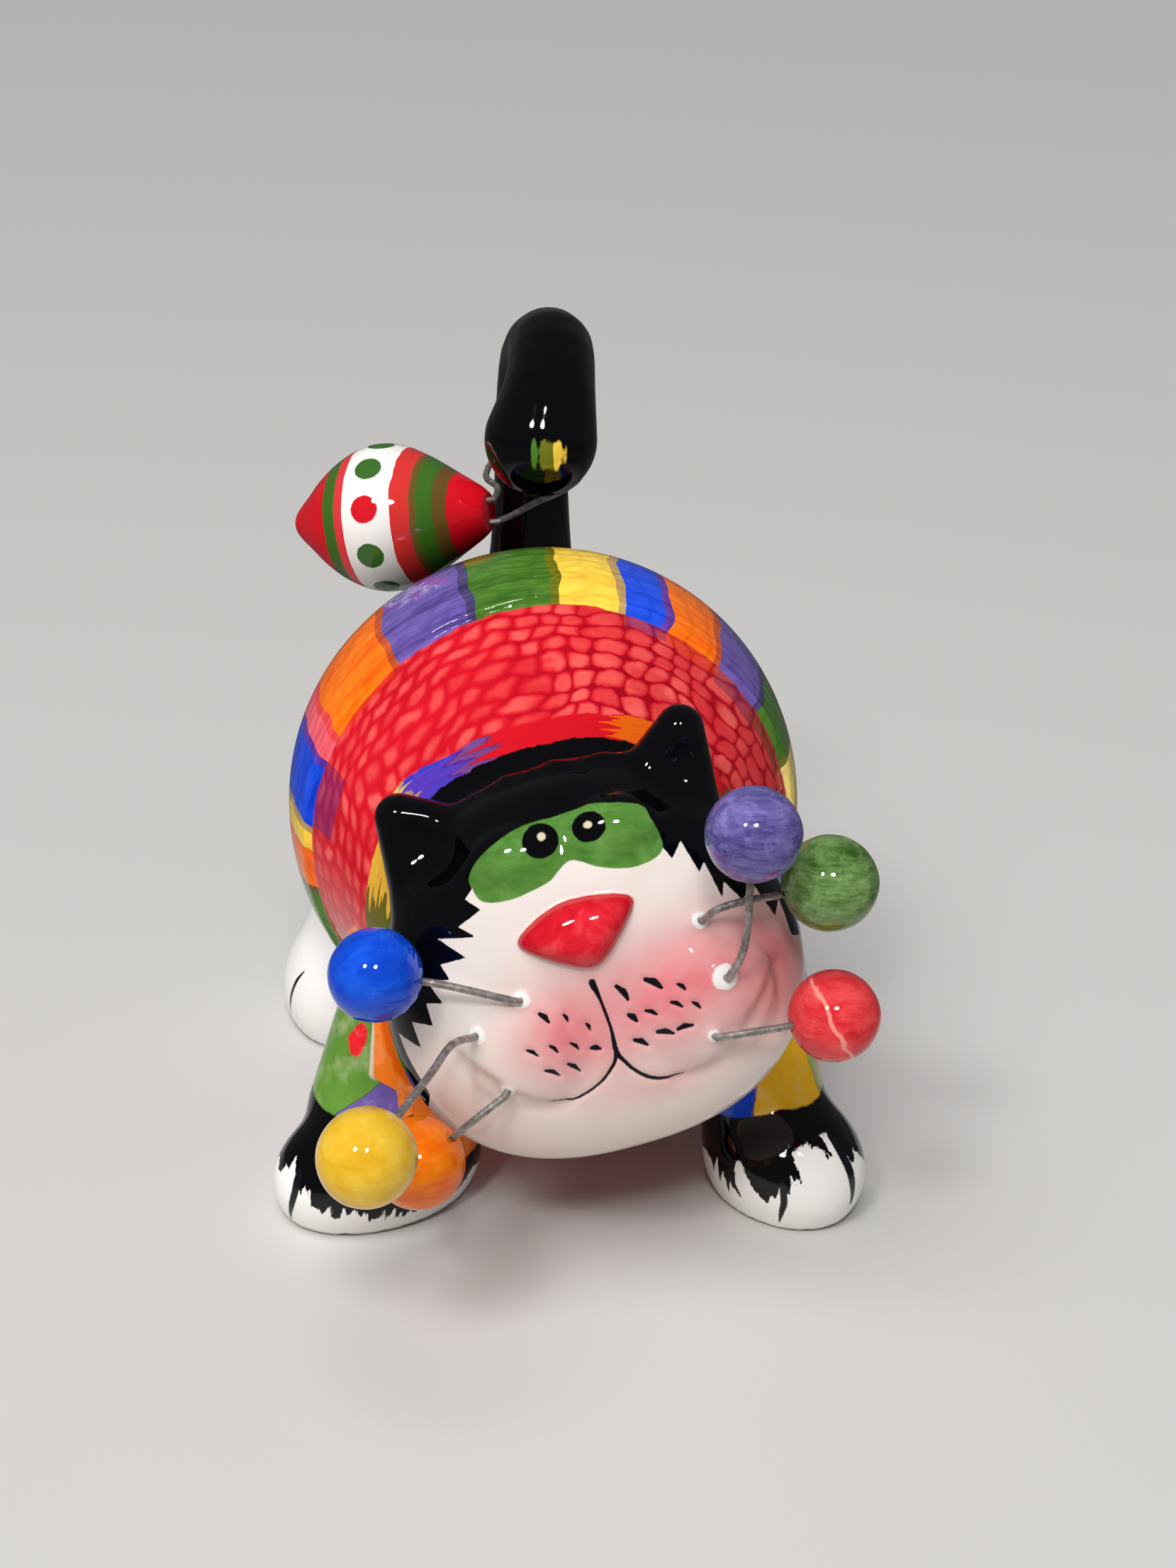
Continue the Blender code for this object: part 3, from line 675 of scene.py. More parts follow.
def from_strokes(spots, strokes):
    """Distance to tapered brush strokes; each is points of right, up and half its width."""
    distance = np.full(len(spots), 1e9)
    for stroke in strokes:
        stroke = smooth_route(stroke, 0.8) if len(stroke) > 2 else np.asarray(stroke)
        for start, end in zip(stroke, stroke[1:]):
            off, share = from_line(spots, start[:2], end[:2])
            distance = np.minimum(distance, off - (start[2] + (end[2] - start[2]) * share))
    return distance


def dab(start, end, width):
    """A short brush dab that swells just after its start, bent a little aside."""
    aside = np.array((start[1] - end[1], end[0] - start[0])) * 0.1
    rows = ((0.0, 0.0, 0.7), (0.45, 1.0, 1.1), (1.0, 0.0, 0.5))
    return [(*(start + (end - start) * share + aside * bend), width * swell) for share, bend, swell in rows]


def from_spots(spots, rounds):
    """Distance to oval dabs of paint, each right, up and two radii."""
    distance = np.full(len(spots), 1e9)
    for right, up, wide, high in rounds:
        reach = np.hypot((spots[:, 0] - right) / wide, (spots[:, 1] - up) / high)
        distance = np.minimum(distance, (reach - 1.0) * min(wide, high))
    return distance


def face_spots(local):
    """Where each point lies on the flat drawing of the face, the back of the head folded outside it."""
    eye = (CAMERA_PLACE - HEAD_PLACE) @ HEAD_AXES
    sight = local - eye
    sight /= lengths(sight)[:, None]
    spots = local.copy()
    for _ in range(3):
        reach = face_reach(spots[:, 0], spots[:, 2])
        trust = np.clip((0.97 - reach) / 0.12, 0.0, 1.0) * (local[:, 1] < 0.0)
        miss = -face_front(spots[:, 0], spots[:, 2]) - spots[:, 1]
        spots += sight * (np.clip(miss / sight[:, 1], -4.0, 4.0) * trust)[:, None]
    reach = np.maximum(face_reach(spots[:, 0], spots[:, 2]), 0.15)
    fold = np.where(local[:, 1] > 0.0, np.maximum((2.0 - reach) / reach, 1.0), 1.0)
    return spots[:, [0, 2]] * fold[:, None]


def paw_spots(points, paw):
    """Where each point lies round a paw: degrees from its front, scaled, and height."""
    degrees = np.degrees(np.arctan2(points[:, 0] - paw[0], -(points[:, 1] - paw[1])))
    return np.stack([degrees * PAW_SCALE, points[:, 2]], axis=1)


def scaled_paw(rows):
    return [(row[0] * PAW_SCALE, *row[1:]) for row in rows]


def paint_places(points):
    """Every point's distances to the painted edges, in millimetres, and its share of blush."""
    local = (points - HEAD_PLACE) @ HEAD_AXES
    off_head = head_field(local)
    far = np.full(len(points), FAR)
    places = {name: far.copy() for name in
              ("fur", "mask", "pupil", "glint", "nose", "ink", "crease", "ring", "paw_fur", "toe", "sleeve")}
    places["off_head"] = off_head
    across = np.arctan2(points[:, 0], points[:, 2] - TORSO_PLACE[2])
    places["band"] = points[:, 1] - TORSO_PLACE[1] + BAND_EDGE + BAND_BOW * np.abs(np.sin(across))
    torso = ball(points, TORSO_PLACE, TORSO_RADII)
    others = np.min([leg_cone(points, leg) for leg in LEGS], axis=0)
    places["back"] = np.clip((off_head - 7.0) / 3.0, 0.0, 1.0) * np.clip((others - 2.0) / 4.0, 0.0, 1.0)
    places["blush"] = np.zeros(len(points))
    on_head = np.nonzero(off_head < HEAD_PAINT_REACH)[0]
    spots = face_spots(local[on_head])
    places["fur"][on_head] = inside_edge(spots, FUR_EDGE)
    front = local[on_head, 1] < 0.0
    chosen, spots = on_head[front], spots[front]
    places["mask"][chosen] = inside_edge(spots, rounded(MASK_EDGE))
    places["nose"][chosen] = nose_outline(*spots.T) - 0.1
    places["pupil"][chosen] = from_spots(spots, PUPILS)
    places["glint"][chosen] = from_spots(spots, GLINTS)
    dashes = [dab(np.array(row[:2]), np.array(row[2:4]), row[4]) for row in MOUTH_DASHES]
    places["ink"][chosen] = from_strokes(spots, (*MOUTH_STROKES, *dashes))
    places["crease"][chosen] = from_strokes(spots, SMILE_CREASES)
    blush = np.zeros(len(spots))
    for right, up, wide, high, amount in BLUSHES:
        reach = ((spots[:, 0] - right) / wide) ** 2 + ((spots[:, 1] - up) / high) ** 2
        blush = 1.0 - (1.0 - blush) * (1.0 - amount * np.exp(-reach))
    places["blush"][chosen] = blush
    for whisker in WHISKERS.values():
        reach = lengths(points - np.asarray(whisker["mouth"])) - whisker["ring"]
        places["ring"] = np.minimum(places["ring"], reach)
    for leg in LEGS:
        side = (points[:, 0] < SIDES_MEET) == (leg["paw"][0] < 0.0)
        end = (points[:, 1] < ENDS_MEET) == (leg["paw"][1] < 0.0)
        chosen = np.nonzero(side & end & (points[:, 2] < SLEEVE_TOP) & (off_head > HEAD_CLEAR))[0]
        spots = paw_spots(points[chosen], leg["painted_from"])
        if "mirrored" in leg:
            spots[:, 0] *= -1.0
        low = points[chosen, 2] < PAW_TOP
        if "fur" in leg:
            places["paw_fur"][chosen[low]] = inside_edge(spots[low], scaled_paw(leg["fur"]))
            places["sleeve"][chosen] = leg_cone(points[chosen], leg) - np.maximum(torso[chosen], 0.0) - 1.0
        places["toe"][chosen[low]] = from_strokes(spots[low], [scaled_paw(stroke) for stroke in leg["toes"]])
    return places


def wanted_length(places):
    """How long the skin's edges may be: short by a painted edge, longer away from it."""
    names = ("fur", "mask", "pupil", "glint", "nose", "paw_fur", "toe")
    nearest = np.min([np.abs(places[name]) for name in names], axis=0)
    nearest = np.minimum(nearest, np.abs(places["crease"]) + 0.15)
    nearest = np.minimum(nearest, np.abs(places["ring"]) + 0.35)
    nearest = np.minimum(nearest, np.abs(places["band"] - BAND_RISE) * 0.5 + 0.4)
    wanted = np.clip(0.3 + 0.42 * nearest, 0.34, 1.3)
    return np.minimum(wanted, np.maximum(0.2 + 0.42 * np.abs(places["ink"]), 0.25))


def relief(points, places):
    """How far the glaze stands over the plain skin: creases, the mouth line and the mounds at the wires."""
    fades = sum(height * np.exp(-(np.maximum(places[name] + inset, 0.0) / width) ** 2)
                for name, height, inset, width in RELIEFS)
    band = places["band"]
    risen = BAND_HEIGHT / (1.0 + np.exp(-(band - BAND_RISE) / 0.3))
    return fades + risen / (1.0 + np.exp((band - BAND_FALL) / 1.5)) * places["back"]


def placed(points):
    """Millimetres from the middle of the belly as metres in the frame."""
    return (np.asarray(points, float) - STAND_MIDDLE) * MM


def new_mesh(name, points, faces, places):
    """A smooth mesh whose points carry the named numbers."""
    mesh = bpy.data.meshes.new(name)
    mesh.from_pydata(placed(points).tolist(), [], faces)
    for label, values in places.items():
        layer = mesh.attributes.new(label, "FLOAT", "POINT")
        layer.data.foreach_set("value", np.asarray(values, dtype=np.float32))
    mesh.shade_smooth()
    mesh.update()
    return mesh


def new_object(name, data):
    thing = bpy.data.objects.new(name, data)
    bpy.context.scene.collection.objects.link(thing)
    return thing


def new_piece(name, mesh, material, node):
    """A finished piece; a mesh that already has its material comes with None."""
    piece = new_object(name, mesh)
    if material is not None:
        mesh.materials.append(material)
    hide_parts(node)
    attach(piece, "root")


def make_cat(material):
    points, quads = grid_skin(cat_field, *SKIN_GRID)
    faces = halved(points, quads)
    edges, _ = edges_of(faces)
    for _ in range(3):
        points = drawn_to(cat_field, relaxed(points, edges, 0.5), 1)
    for _ in range(3):
        wanted = wanted_length(paint_places(points))
        before = len(points)
        points, faces = split_long(points, faces, wanted)
        points[before:] = drawn_to(cat_field, points[before:], 2)
    edges, _ = edges_of(faces)
    points = drawn_to(cat_field, relaxed(points, edges, 0.3), 2)
    places = paint_places(points)
    _, slope = slope_of(cat_field, points)
    slope /= lengths(slope)[:, None]
    points = points + slope * relief(points, places)[:, None]
    points[:, 2] = np.maximum(points[:, 2], 0.0)
    mesh = new_mesh("cat_glazed", points, faces.tolist(), places)
    new_piece("cat_glazed", mesh, material, "cat")


# ---------------------------------------------------------------- node trees

class Value:
    """What one output of a node gives. A sum with it adds the node that works the sum out."""

    def __init__(self, tree, socket):
        self.tree = tree
        self.socket = socket

    def other(self, output):
        """Another output of the same node."""
        return Value(self.tree, self.socket.node.outputs[output])

    def __add__(self, more):
        return summed("ADD", self, more)

    def __sub__(self, less):
        return summed("SUBTRACT", self, less)

    def __rsub__(self, whole):
        return summed("SUBTRACT", whole, self)

    def __mul__(self, times):
        return summed("MULTIPLY", self, times)

    def __truediv__(self, parts):
        return summed("DIVIDE", self, parts)


def fill(node, inputs):
    """Gives a node's inputs their plain values, or links them."""
    for key, value in inputs.items():
        if isinstance(value, Value):
            value.tree.links.new(value.socket, node.inputs[key])
        else:
            node.inputs[key].default_value = value


def add(kind, inputs, out=0, tree=None, **settings):
    """Adds a node to the tree that its inputs come from, and gives one of its outputs."""
    tree = tree or next(value.tree for value in inputs.values() if isinstance(value, Value))
    node = tree.nodes.new(kind)
    for name, value in settings.items():
        setattr(node, name, value)
    fill(node, inputs)
    return Value(tree, node.outputs[out])


def new_socket(tree, label, way, kind):
    return tree.interface.new_socket(label, in_out=way, socket_type="NodeSocket" + kind)


def maths(operation, one, two=0.0, clamp=False):
    return add("ShaderNodeMath", {0: one, 1: two}, operation=operation, use_clamp=clamp)


def vectors(operation, *places, out=0):
    return add("ShaderNodeVectorMath", dict(enumerate(places)), out, operation=operation)


def summed(operation, one, two):
    """A plain sum, or three at once where either side is a place or three numbers."""
    threefold = any(isinstance(side, tuple) or isinstance(side, Value) and side.socket.type == "VECTOR"
                    for side in (one, two))
    return (vectors if threefold else maths)(operation, one, two)


def mix(share, under, over, way="MIX"):
    return add("ShaderNodeMix", {0: share, 6: under, 7: over}, 2, data_type="RGBA", blend_type=way)


def deepened(colour):
    """The colour as it looks where its paint lies twice."""
    return mix(1.0, colour, colour, "MULTIPLY")


def spread(value, low, high, to_low=0.0, to_high=1.0, smooth=False):
    """The value's way from low to high, as the same way between two others, never beyond them."""
    inputs = {"Value": value, "From Min": low, "From Max": high, "To Min": to_low, "To Max": to_high}
    return add("ShaderNodeMapRange", inputs, interpolation_type="SMOOTHSTEP" if smooth else "LINEAR")


def between(share, first, second):
    """A number from one value to another by a share."""
    return share * (second - first) + first


def noise(place, scale, detail=2.0, roughness=0.5, distortion=0.0, out=0):
    names = ("Vector", "Scale", "Detail", "Roughness", "Distortion")
    return add("ShaderNodeTexNoise", dict(zip(names, (place, scale, detail, roughness, distortion))), out)


def swing(place, scale, amount, detail=1.0):
    """A slow wander to both sides of zero."""
    return (noise(place, scale, detail) - 0.5) * amount


def joined(x, y, z=0.0):
    return add("ShaderNodeCombineXYZ", {0: x, 1: y, 2: z})


def split(place):
    """The three numbers of a place."""
    first = add("ShaderNodeSeparateXYZ", {0: place})
    return first, first.other(1), first.other(2)


def ramp(value, stops, way="CONSTANT"):
    """A colour for each stretch of a value."""
    output = add("ShaderNodeValToRGB", {0: value})
    scale = output.socket.node.color_ramp
    scale.interpolation = way
    while len(scale.elements) > 1:
        scale.elements.remove(scale.elements[-1])
    scale.elements[0].position = stops[0][0]
    scale.elements[0].color = stops[0][1]
    for place, colour in stops[1:]:
        scale.elements.new(place).color = colour
    return output


def bumped(height):
    """The way the surface faces, from its height in millimetres."""
    return add("ShaderNodeBump", {"Height": height, "Distance": MM, "Strength": 1.0})


def round_angle(right, up):
    """Degrees from up, growing to the right."""
    return maths("ARCTAN2", right, up) * (180.0 / math.pi)


# ---------------------------------------------------------------- effects that several finishes share

GLAZE_IOR = 1.45
ORIGIN = (0.0, 0.0, 0.0)
MIDDLE = (0.5, 0.5, 0.5)
NO_COLOUR = (0.0, 0.0, 0.0, 1.0)
KNIT_RADIUS = 41.0


def shared(name, **defaults):
    """Makes a function's values a shader node group with named inputs, and the function what places it."""
    def as_group(build):
        group = bpy.data.node_groups.new(name, "ShaderNodeTree")
        for label, value in defaults.items():
            kind = "Float" if isinstance(value, float) else "Vector" if len(value) == 3 else "Color"
            new_socket(group, label.capitalize(), "INPUT", kind).default_value = value
        sockets = group.nodes.new("NodeGroupInput").outputs
        made = build(group, *[Value(group, sockets[label.capitalize()]) for label in defaults])
        for label, value in made.items():
            kind = {"VALUE": "Float", "VECTOR": "Vector", "RGBA": "Color"}[value.socket.type]
            new_socket(group, label, "OUTPUT", kind)
        fill(group.nodes.new("NodeGroupOutput"), made)

        def place_in(tree, **values):
            inputs = {label.capitalize(): value for label, value in values.items()}
            return add("ShaderNodeGroup", inputs, tree=tree, node_tree=group)
        return place_in
    return as_group


@shared("place on the figure")
def place_on_figure(tree):
    """The surface's place in millimetres from the middle of the belly."""
    where = add("ShaderNodeTexCoord", {}, 3, tree)
    return {"Place": vectors("ADD", vectors("MULTIPLY", where, (1.0 / MM,) * 3), tuple(STAND_MIDDLE))}


@shared("painted edge", distance=0.0, place=ORIGIN, wobble=0.2, fineness=1.2, softness=0.08)
def painted_edge(tree, distance, place, wobble, fineness, softness):
    """Where paint lies, from the distance to its edge, with a hand's wobble."""
    moved = distance + (noise(place, fineness, 3.0, 0.6) - 0.5) * wobble
    return {"Paint": spread(moved, softness * -1.0, softness, 1.0, 0.0)}


@shared("brush streaks", place=ORIGIN, stretch=(0.08, 1.2, 1.2), thin=0.3)
def brush_streaks(tree, place, stretch, thin):
    """Streaks that a loaded brush leaves, long one way and fine the other."""
    place = place * stretch
    both = noise(place, 1.0, 4.0, 0.65) * 0.6 + noise(place, 0.31, 2.0, 0.5) * 0.4
    return {"Streak": spread(both, 0.33, 0.67), "Thin paint": spread(both, thin, thin + 0.12, 1.0, 0.0)}


@shared("watery colour", colour=NO_COLOUR, pale=NO_COLOUR, deep=NO_COLOUR, place=ORIGIN, size=0.12,
        amount=0.6)
def watery_colour(tree, colour, pale, deep, place, size, amount):
    """A watery colour: paler and deeper clouds."""
    cloud = noise(place, size, 3.0, 0.55, 0.4)
    paler = mix(spread(cloud, 0.5, 0.75) * amount, colour, pale)
    return {"Colour": mix(spread(cloud, 0.5, 0.25) * amount, paler, deep)}


@shared("glaze surface", place=ORIGIN, wave=0.03, pits=0.004)
def glaze_surface(tree, place, wave, pits):
    """The glaze's soft waves and its fine pits, as a height in millimetres."""
    off_pit = add("ShaderNodeTexVoronoi", {"Vector": place, "Scale": 0.9})
    pit = spread(off_pit, 0.0, 0.16, 1.0, 0.0, smooth=True)
    pit = pit * spread(noise(place, 0.35, 1.0), 0.56, 0.62) * pits
    dust = spread(noise(place, 5.0, 4.0, 0.7), 0.66, 0.78)
    return {"Height": noise(place, 0.16, 1.0, 0.4) * wave - pit, "Dust": dust}


@shared("knit rows", turn=0.0, along=0.0, place=ORIGIN, row=2.9, stitch=4.3, lean=0.0, offset=0.5)
def knit_rows(tree, turn, along, place, row, stitch, lean, offset):
    """Painted stitches in rows on a ball.

    Gives how far a spot lies from its stitch's middle, and a chance that is one number for the whole stitch.
    """
    slow = (noise(place, 0.075, 1.0, out=1) - MIDDLE) * (2.6, 2.6, 2.6)
    quick = (noise(place, 0.4, 2.0, out=1) - MIDDLE) * (0.5, 0.5, 0.5)
    wobble, sway, _ = split(slow + quick)
    rows = along / row + wobble
    number = maths("FLOOR", rows)
    in_row = maths("FRACT", rows) - 0.5
    level = maths("SINE", (number + 0.5) * row / KNIT_RADIUS)
    around = maths("DIVIDE", 2.0 * math.pi * KNIT_RADIUS, stitch)
    count = maths("ROUND", maths("MAXIMUM", level, 0.15) * around)
    shift = maths("PINGPONG", number, 1.0) * offset
    cells = turn / (2.0 * math.pi) * count + sway * 0.7 + shift + in_row * lean
    in_cell = maths("FRACT", cells) - 0.5
    across, down = (maths("POWER", maths("ABSOLUTE", off) * 2.0, 3.0) for off in (in_cell, in_row))
    cell = joined(maths("FLOOR", cells), number)
    return {"Reach": maths("POWER", across + down, 0.333),
            "Chance": add("ShaderNodeTexWhiteNoise", {"Vector": cell}, noise_dimensions="3D")}


class Surface:
    """A material's spots on the figure and the paint that lies on them."""

    def __init__(self, tree):
        self.tree = tree
        self.place = place_on_figure(tree)

    def read(self, name):
        """A number that the skin's points carry."""
        return add("ShaderNodeAttribute", {}, 2, self.tree, attribute_name=name, attribute_type="GEOMETRY")

    def paint(self, distance, wobble=0.25, fineness=1.2, softness=0.07):
        """How much paint lies here, from the distance to its edge or the name that the skin has it under."""
        distance = self.read(distance) if isinstance(distance, str) else distance
        return painted_edge(self.tree, distance=distance, place=self.place, wobble=wobble, fineness=fineness,
                            softness=softness)

    def streaks(self, *stretch, place=None, thin=0.3):
        return brush_streaks(self.tree, place=place or self.place, stretch=stretch, thin=thin)

    def wash(self, paints, size, amount):
        """Clouds of a colour, its pale and its deep one."""
        colour, pale, deep = paints
        return watery_colour(self.tree, colour=colour, pale=pale, deep=deep, place=self.place, size=size,
                             amount=amount)


# ---------------------------------------------------------------- paints

WHITE = srgb(255, 252, 247)
BLACK = srgb(4, 4, 6)
INK = srgb(16, 16, 24)
RED = srgb(226, 20, 38)
ORANGE = srgb(244, 116, 6)
YELLOW = srgb(242, 204, 70)
YELLOW_PALE = srgb(244, 222, 130)
YELLOW_WARM = srgb(248, 192, 30)
GREEN = srgb(70, 118, 36)
GREEN_PALE = srgb(160, 180, 110)
GREEN_FRESH = srgb(92, 140, 50)
BLUE = srgb(2, 72, 214)
PURPLE = srgb(104, 84, 160)
PINK = srgb(236, 96, 110)

KNIT_RED = srgb(230, 18, 40)
KNIT_RED_DEEP = srgb(210, 6, 32)
KNIT_STREAK = srgb(244, 56, 64)
KNIT_DAB = srgb(255, 104, 98)
KNIT_LINE = srgb(156, 0, 26)
BAND_OVER_RED = srgb(255, 150, 140)
SLEEVE_RIM = srgb(246, 124, 26)
SLEEVE_BARE = srgb(236, 206, 196)
SLEEVE_THIN = srgb(240, 226, 196)
COLLAR_BRISTLE = srgb(214, 20, 36)
ROUGE = srgb(226, 92, 104)
CREASE_SHADE = srgb(170, 132, 122)
CHIN_CREAM_AND_SHADE = srgb(232, 209, 198)
GLINT = srgb(226, 214, 184)
GLAZE_RING = srgb(244, 240, 236)
FOOT_GLAZE_AND_SHADOW = srgb(150, 150, 128)
MASK_STREAK = srgb(128, 170, 90)
NOSE_EDGE = srgb(190, 4, 26)
RED_BEAD_STROKE = srgb(255, 150, 140)
FLOOR_PALE = srgb(214, 212, 209)
FLOOR_REFLECTED_SHADE = srgb(40, 42, 46)
STEEL_SHADES = ((0.3, srgb(120, 114, 108)), (0.5, srgb(168, 162, 156)), (0.7, srgb(205, 200, 196)))

# Watery paints: the colour, its pale and its deep one
CREAM_WASH = (srgb(238, 227, 219), srgb(246, 237, 231), srgb(228, 210, 200))
MASK_WASH = (srgb(72, 128, 44), srgb(112, 158, 78), srgb(50, 100, 26))
NOSE_WASH = (srgb(230, 34, 50), srgb(248, 92, 96), srgb(186, 4, 24))
# The same for each bead, and how streaky its paint is
BEAD_PAINTS = {
    "blue": ((srgb(0, 70, 212), srgb(44, 112, 240), srgb(0, 42, 168)), 0.35),
    "yellow": ((srgb(236, 186, 36), srgb(248, 214, 88), srgb(218, 158, 14)), 0.35),
    "orange": ((srgb(238, 106, 0), srgb(255, 146, 24), srgb(212, 70, 0)), 0.45),
    "purple": ((srgb(68, 54, 128), srgb(150, 140, 206), srgb(34, 26, 92)), 0.75),
    "green": ((srgb(54, 106, 24), srgb(158, 188, 124), srgb(34, 76, 12)), 0.7),
    "red": ((srgb(222, 24, 42), srgb(252, 104, 104), srgb(186, 2, 22)), 0.5),
}

# Patch colours round the back's band, by degrees from its top towards the viewer's right
BAND_PATCHES = (
    (-180, PURPLE), (-165, YELLOW), (-150, RED), (-136, BLUE), (-122, GREEN), (-103, ORANGE), (-93, YELLOW),
    (-87, BLUE), (-70, PINK), (-62, ORANGE), (-41, PURPLE), (-21, GREEN), (-1.4, YELLOW), (13, BLUE),
    (24.8, ORANGE), (38.6, PURPLE), (53.7, GREEN), (69, YELLOW_PALE), (82, ORANGE), (96, BLUE), (112, YELLOW),
    (126, RED), (140, PURPLE), (154, GREEN), (168, ORANGE),
)
# How far each patch of the band runs on over the red, in centimetres
BAND_OVERLAPS = tuple((degrees, (amount, amount, amount, 1.0)) for degrees, amount in (
    (-180, 0.1), (-136, 0.3), (-122, 0.05), (-87, 0.6), (-70, 0.0), (-62, 0.12), (-41, 0.0), (13, 0.24),
    (24.8, 0.26), (38.6, 0.36), (53.7, 0.3), (69, 0.0), (82, 0.2), (112, 0.0), (140, 0.3),
))
# Patch colours round the collar
COLLAR_PATCHES = (
    (-180, BLUE), (-165, PURPLE), (-152, ORANGE), (-116, RED), (-105, GREEN), (-85, YELLOW),
    (-65, YELLOW_PALE), (-54, BLUE), (-38, PURPLE), (-30, RED), (8, ORANGE), (28, RED), (48, GREEN),
    (70, BLUE), (95, ORANGE), (110, RED), (135, YELLOW), (160, GREEN),
)
# Patch colours round the front sleeves, by degrees from the front of the leg
LEFT_SLEEVE = (
    (-180, RED), (-170, ORANGE), (-154, GREEN_FRESH), (-38, PURPLE), (34, YELLOW), (65, ORANGE),
    (110, GREEN), (140, BLUE),
)
RIGHT_SLEEVE = (
    (-180, PURPLE), (-125, ORANGE), (-100, RED), (-92, BLUE), (-24, YELLOW_WARM), (66, GREEN_PALE),
    (84, ORANGE), (125, BLUE),
)
# How far two neighbouring patches lie over each other, as a share of the whole round
PATCH_OVERLAP = 0.0055
LEFT_SLEEVE_MIDDLE = (-28.0, -31.0)
RIGHT_SLEEVE_MIDDLE = (34.0, -31.0)
SLEEVE_BLOT = (-30.4, -33.0, 26.8)

# White on the front and the hind legs: the middle between the two, how far each stands from it to the side,
# how far back they stand, and how far round each the white reaches
WHITE_REACHES = ((4.0, 31.0, -33.0, 19.0), (0.0, 30.2, 22.0, 15.8))
HIND_CUFF_HEIGHT = 25.0

# The pale stroke on the red bead: a point on it, the way across it, the way it faces, and how much it bows
RED_BEAD_LINE = ((34.4, -61.8, 47.6), (0.85, 0.0, 0.52), (-0.1, -0.9, 0.4), 2.0)
ORNAMENT_BANDS = (
    (0.0, RED), (0.258, GREEN), (0.335, srgb(232, 60, 66)), (0.385, WHITE), (0.62, srgb(228, 60, 56)),
    (0.70, srgb(120, 96, 44)), (0.728, GREEN), (0.80, srgb(112, 84, 36)), (0.855, RED),
)
ORNAMENT_DOTS = {"red_dot": srgb(226, 28, 44), "green_dot": srgb(66, 116, 44)}


# ---------------------------------------------------------------- finishes

def new_material(name):
    material = bpy.data.materials.new(name)
    material.use_nodes = True
    return material, material.node_tree, material.node_tree.nodes["Principled BSDF"]


def fire_glaze(shader, place, colour, wave=0.03, lift=0.0):
    """Clear glaze over the painted clay; lift is how far the clay under it stands out."""
    surface = glaze_surface(place.tree, place=place, wave=wave)
    roughness = spread(surface.other("Dust"), 0.0, 1.0, 0.04, 0.16)
    normal = bumped(surface + lift)
    fill(shader, {"Base Color": colour, "Roughness": roughness, "IOR": GLAZE_IOR, "Normal": normal})


def patch_stops(patches):
    """Each patch's start as a share of the whole round, with what the patch has."""
    return [((degrees + 180.0) / 360.0, patch) for degrees, patch in patches]


def patch_colours(place, degrees, patches, wobble, fineness=0.2):
    """Watery patches round a band, one colour after another, deeper where two meet."""
    share = (degrees + swing(place, fineness, wobble) + 180.0) / 360.0
    first, second = (ramp(spot, patch_stops(patches)) for spot in (share, share + PATCH_OVERLAP))
    apart = vectors("DISTANCE", first, second, out=1)
    return mix(spread(apart, 0.02, 0.1, 0.0, 0.6), first, deepened(mix(0.5, first, second)))


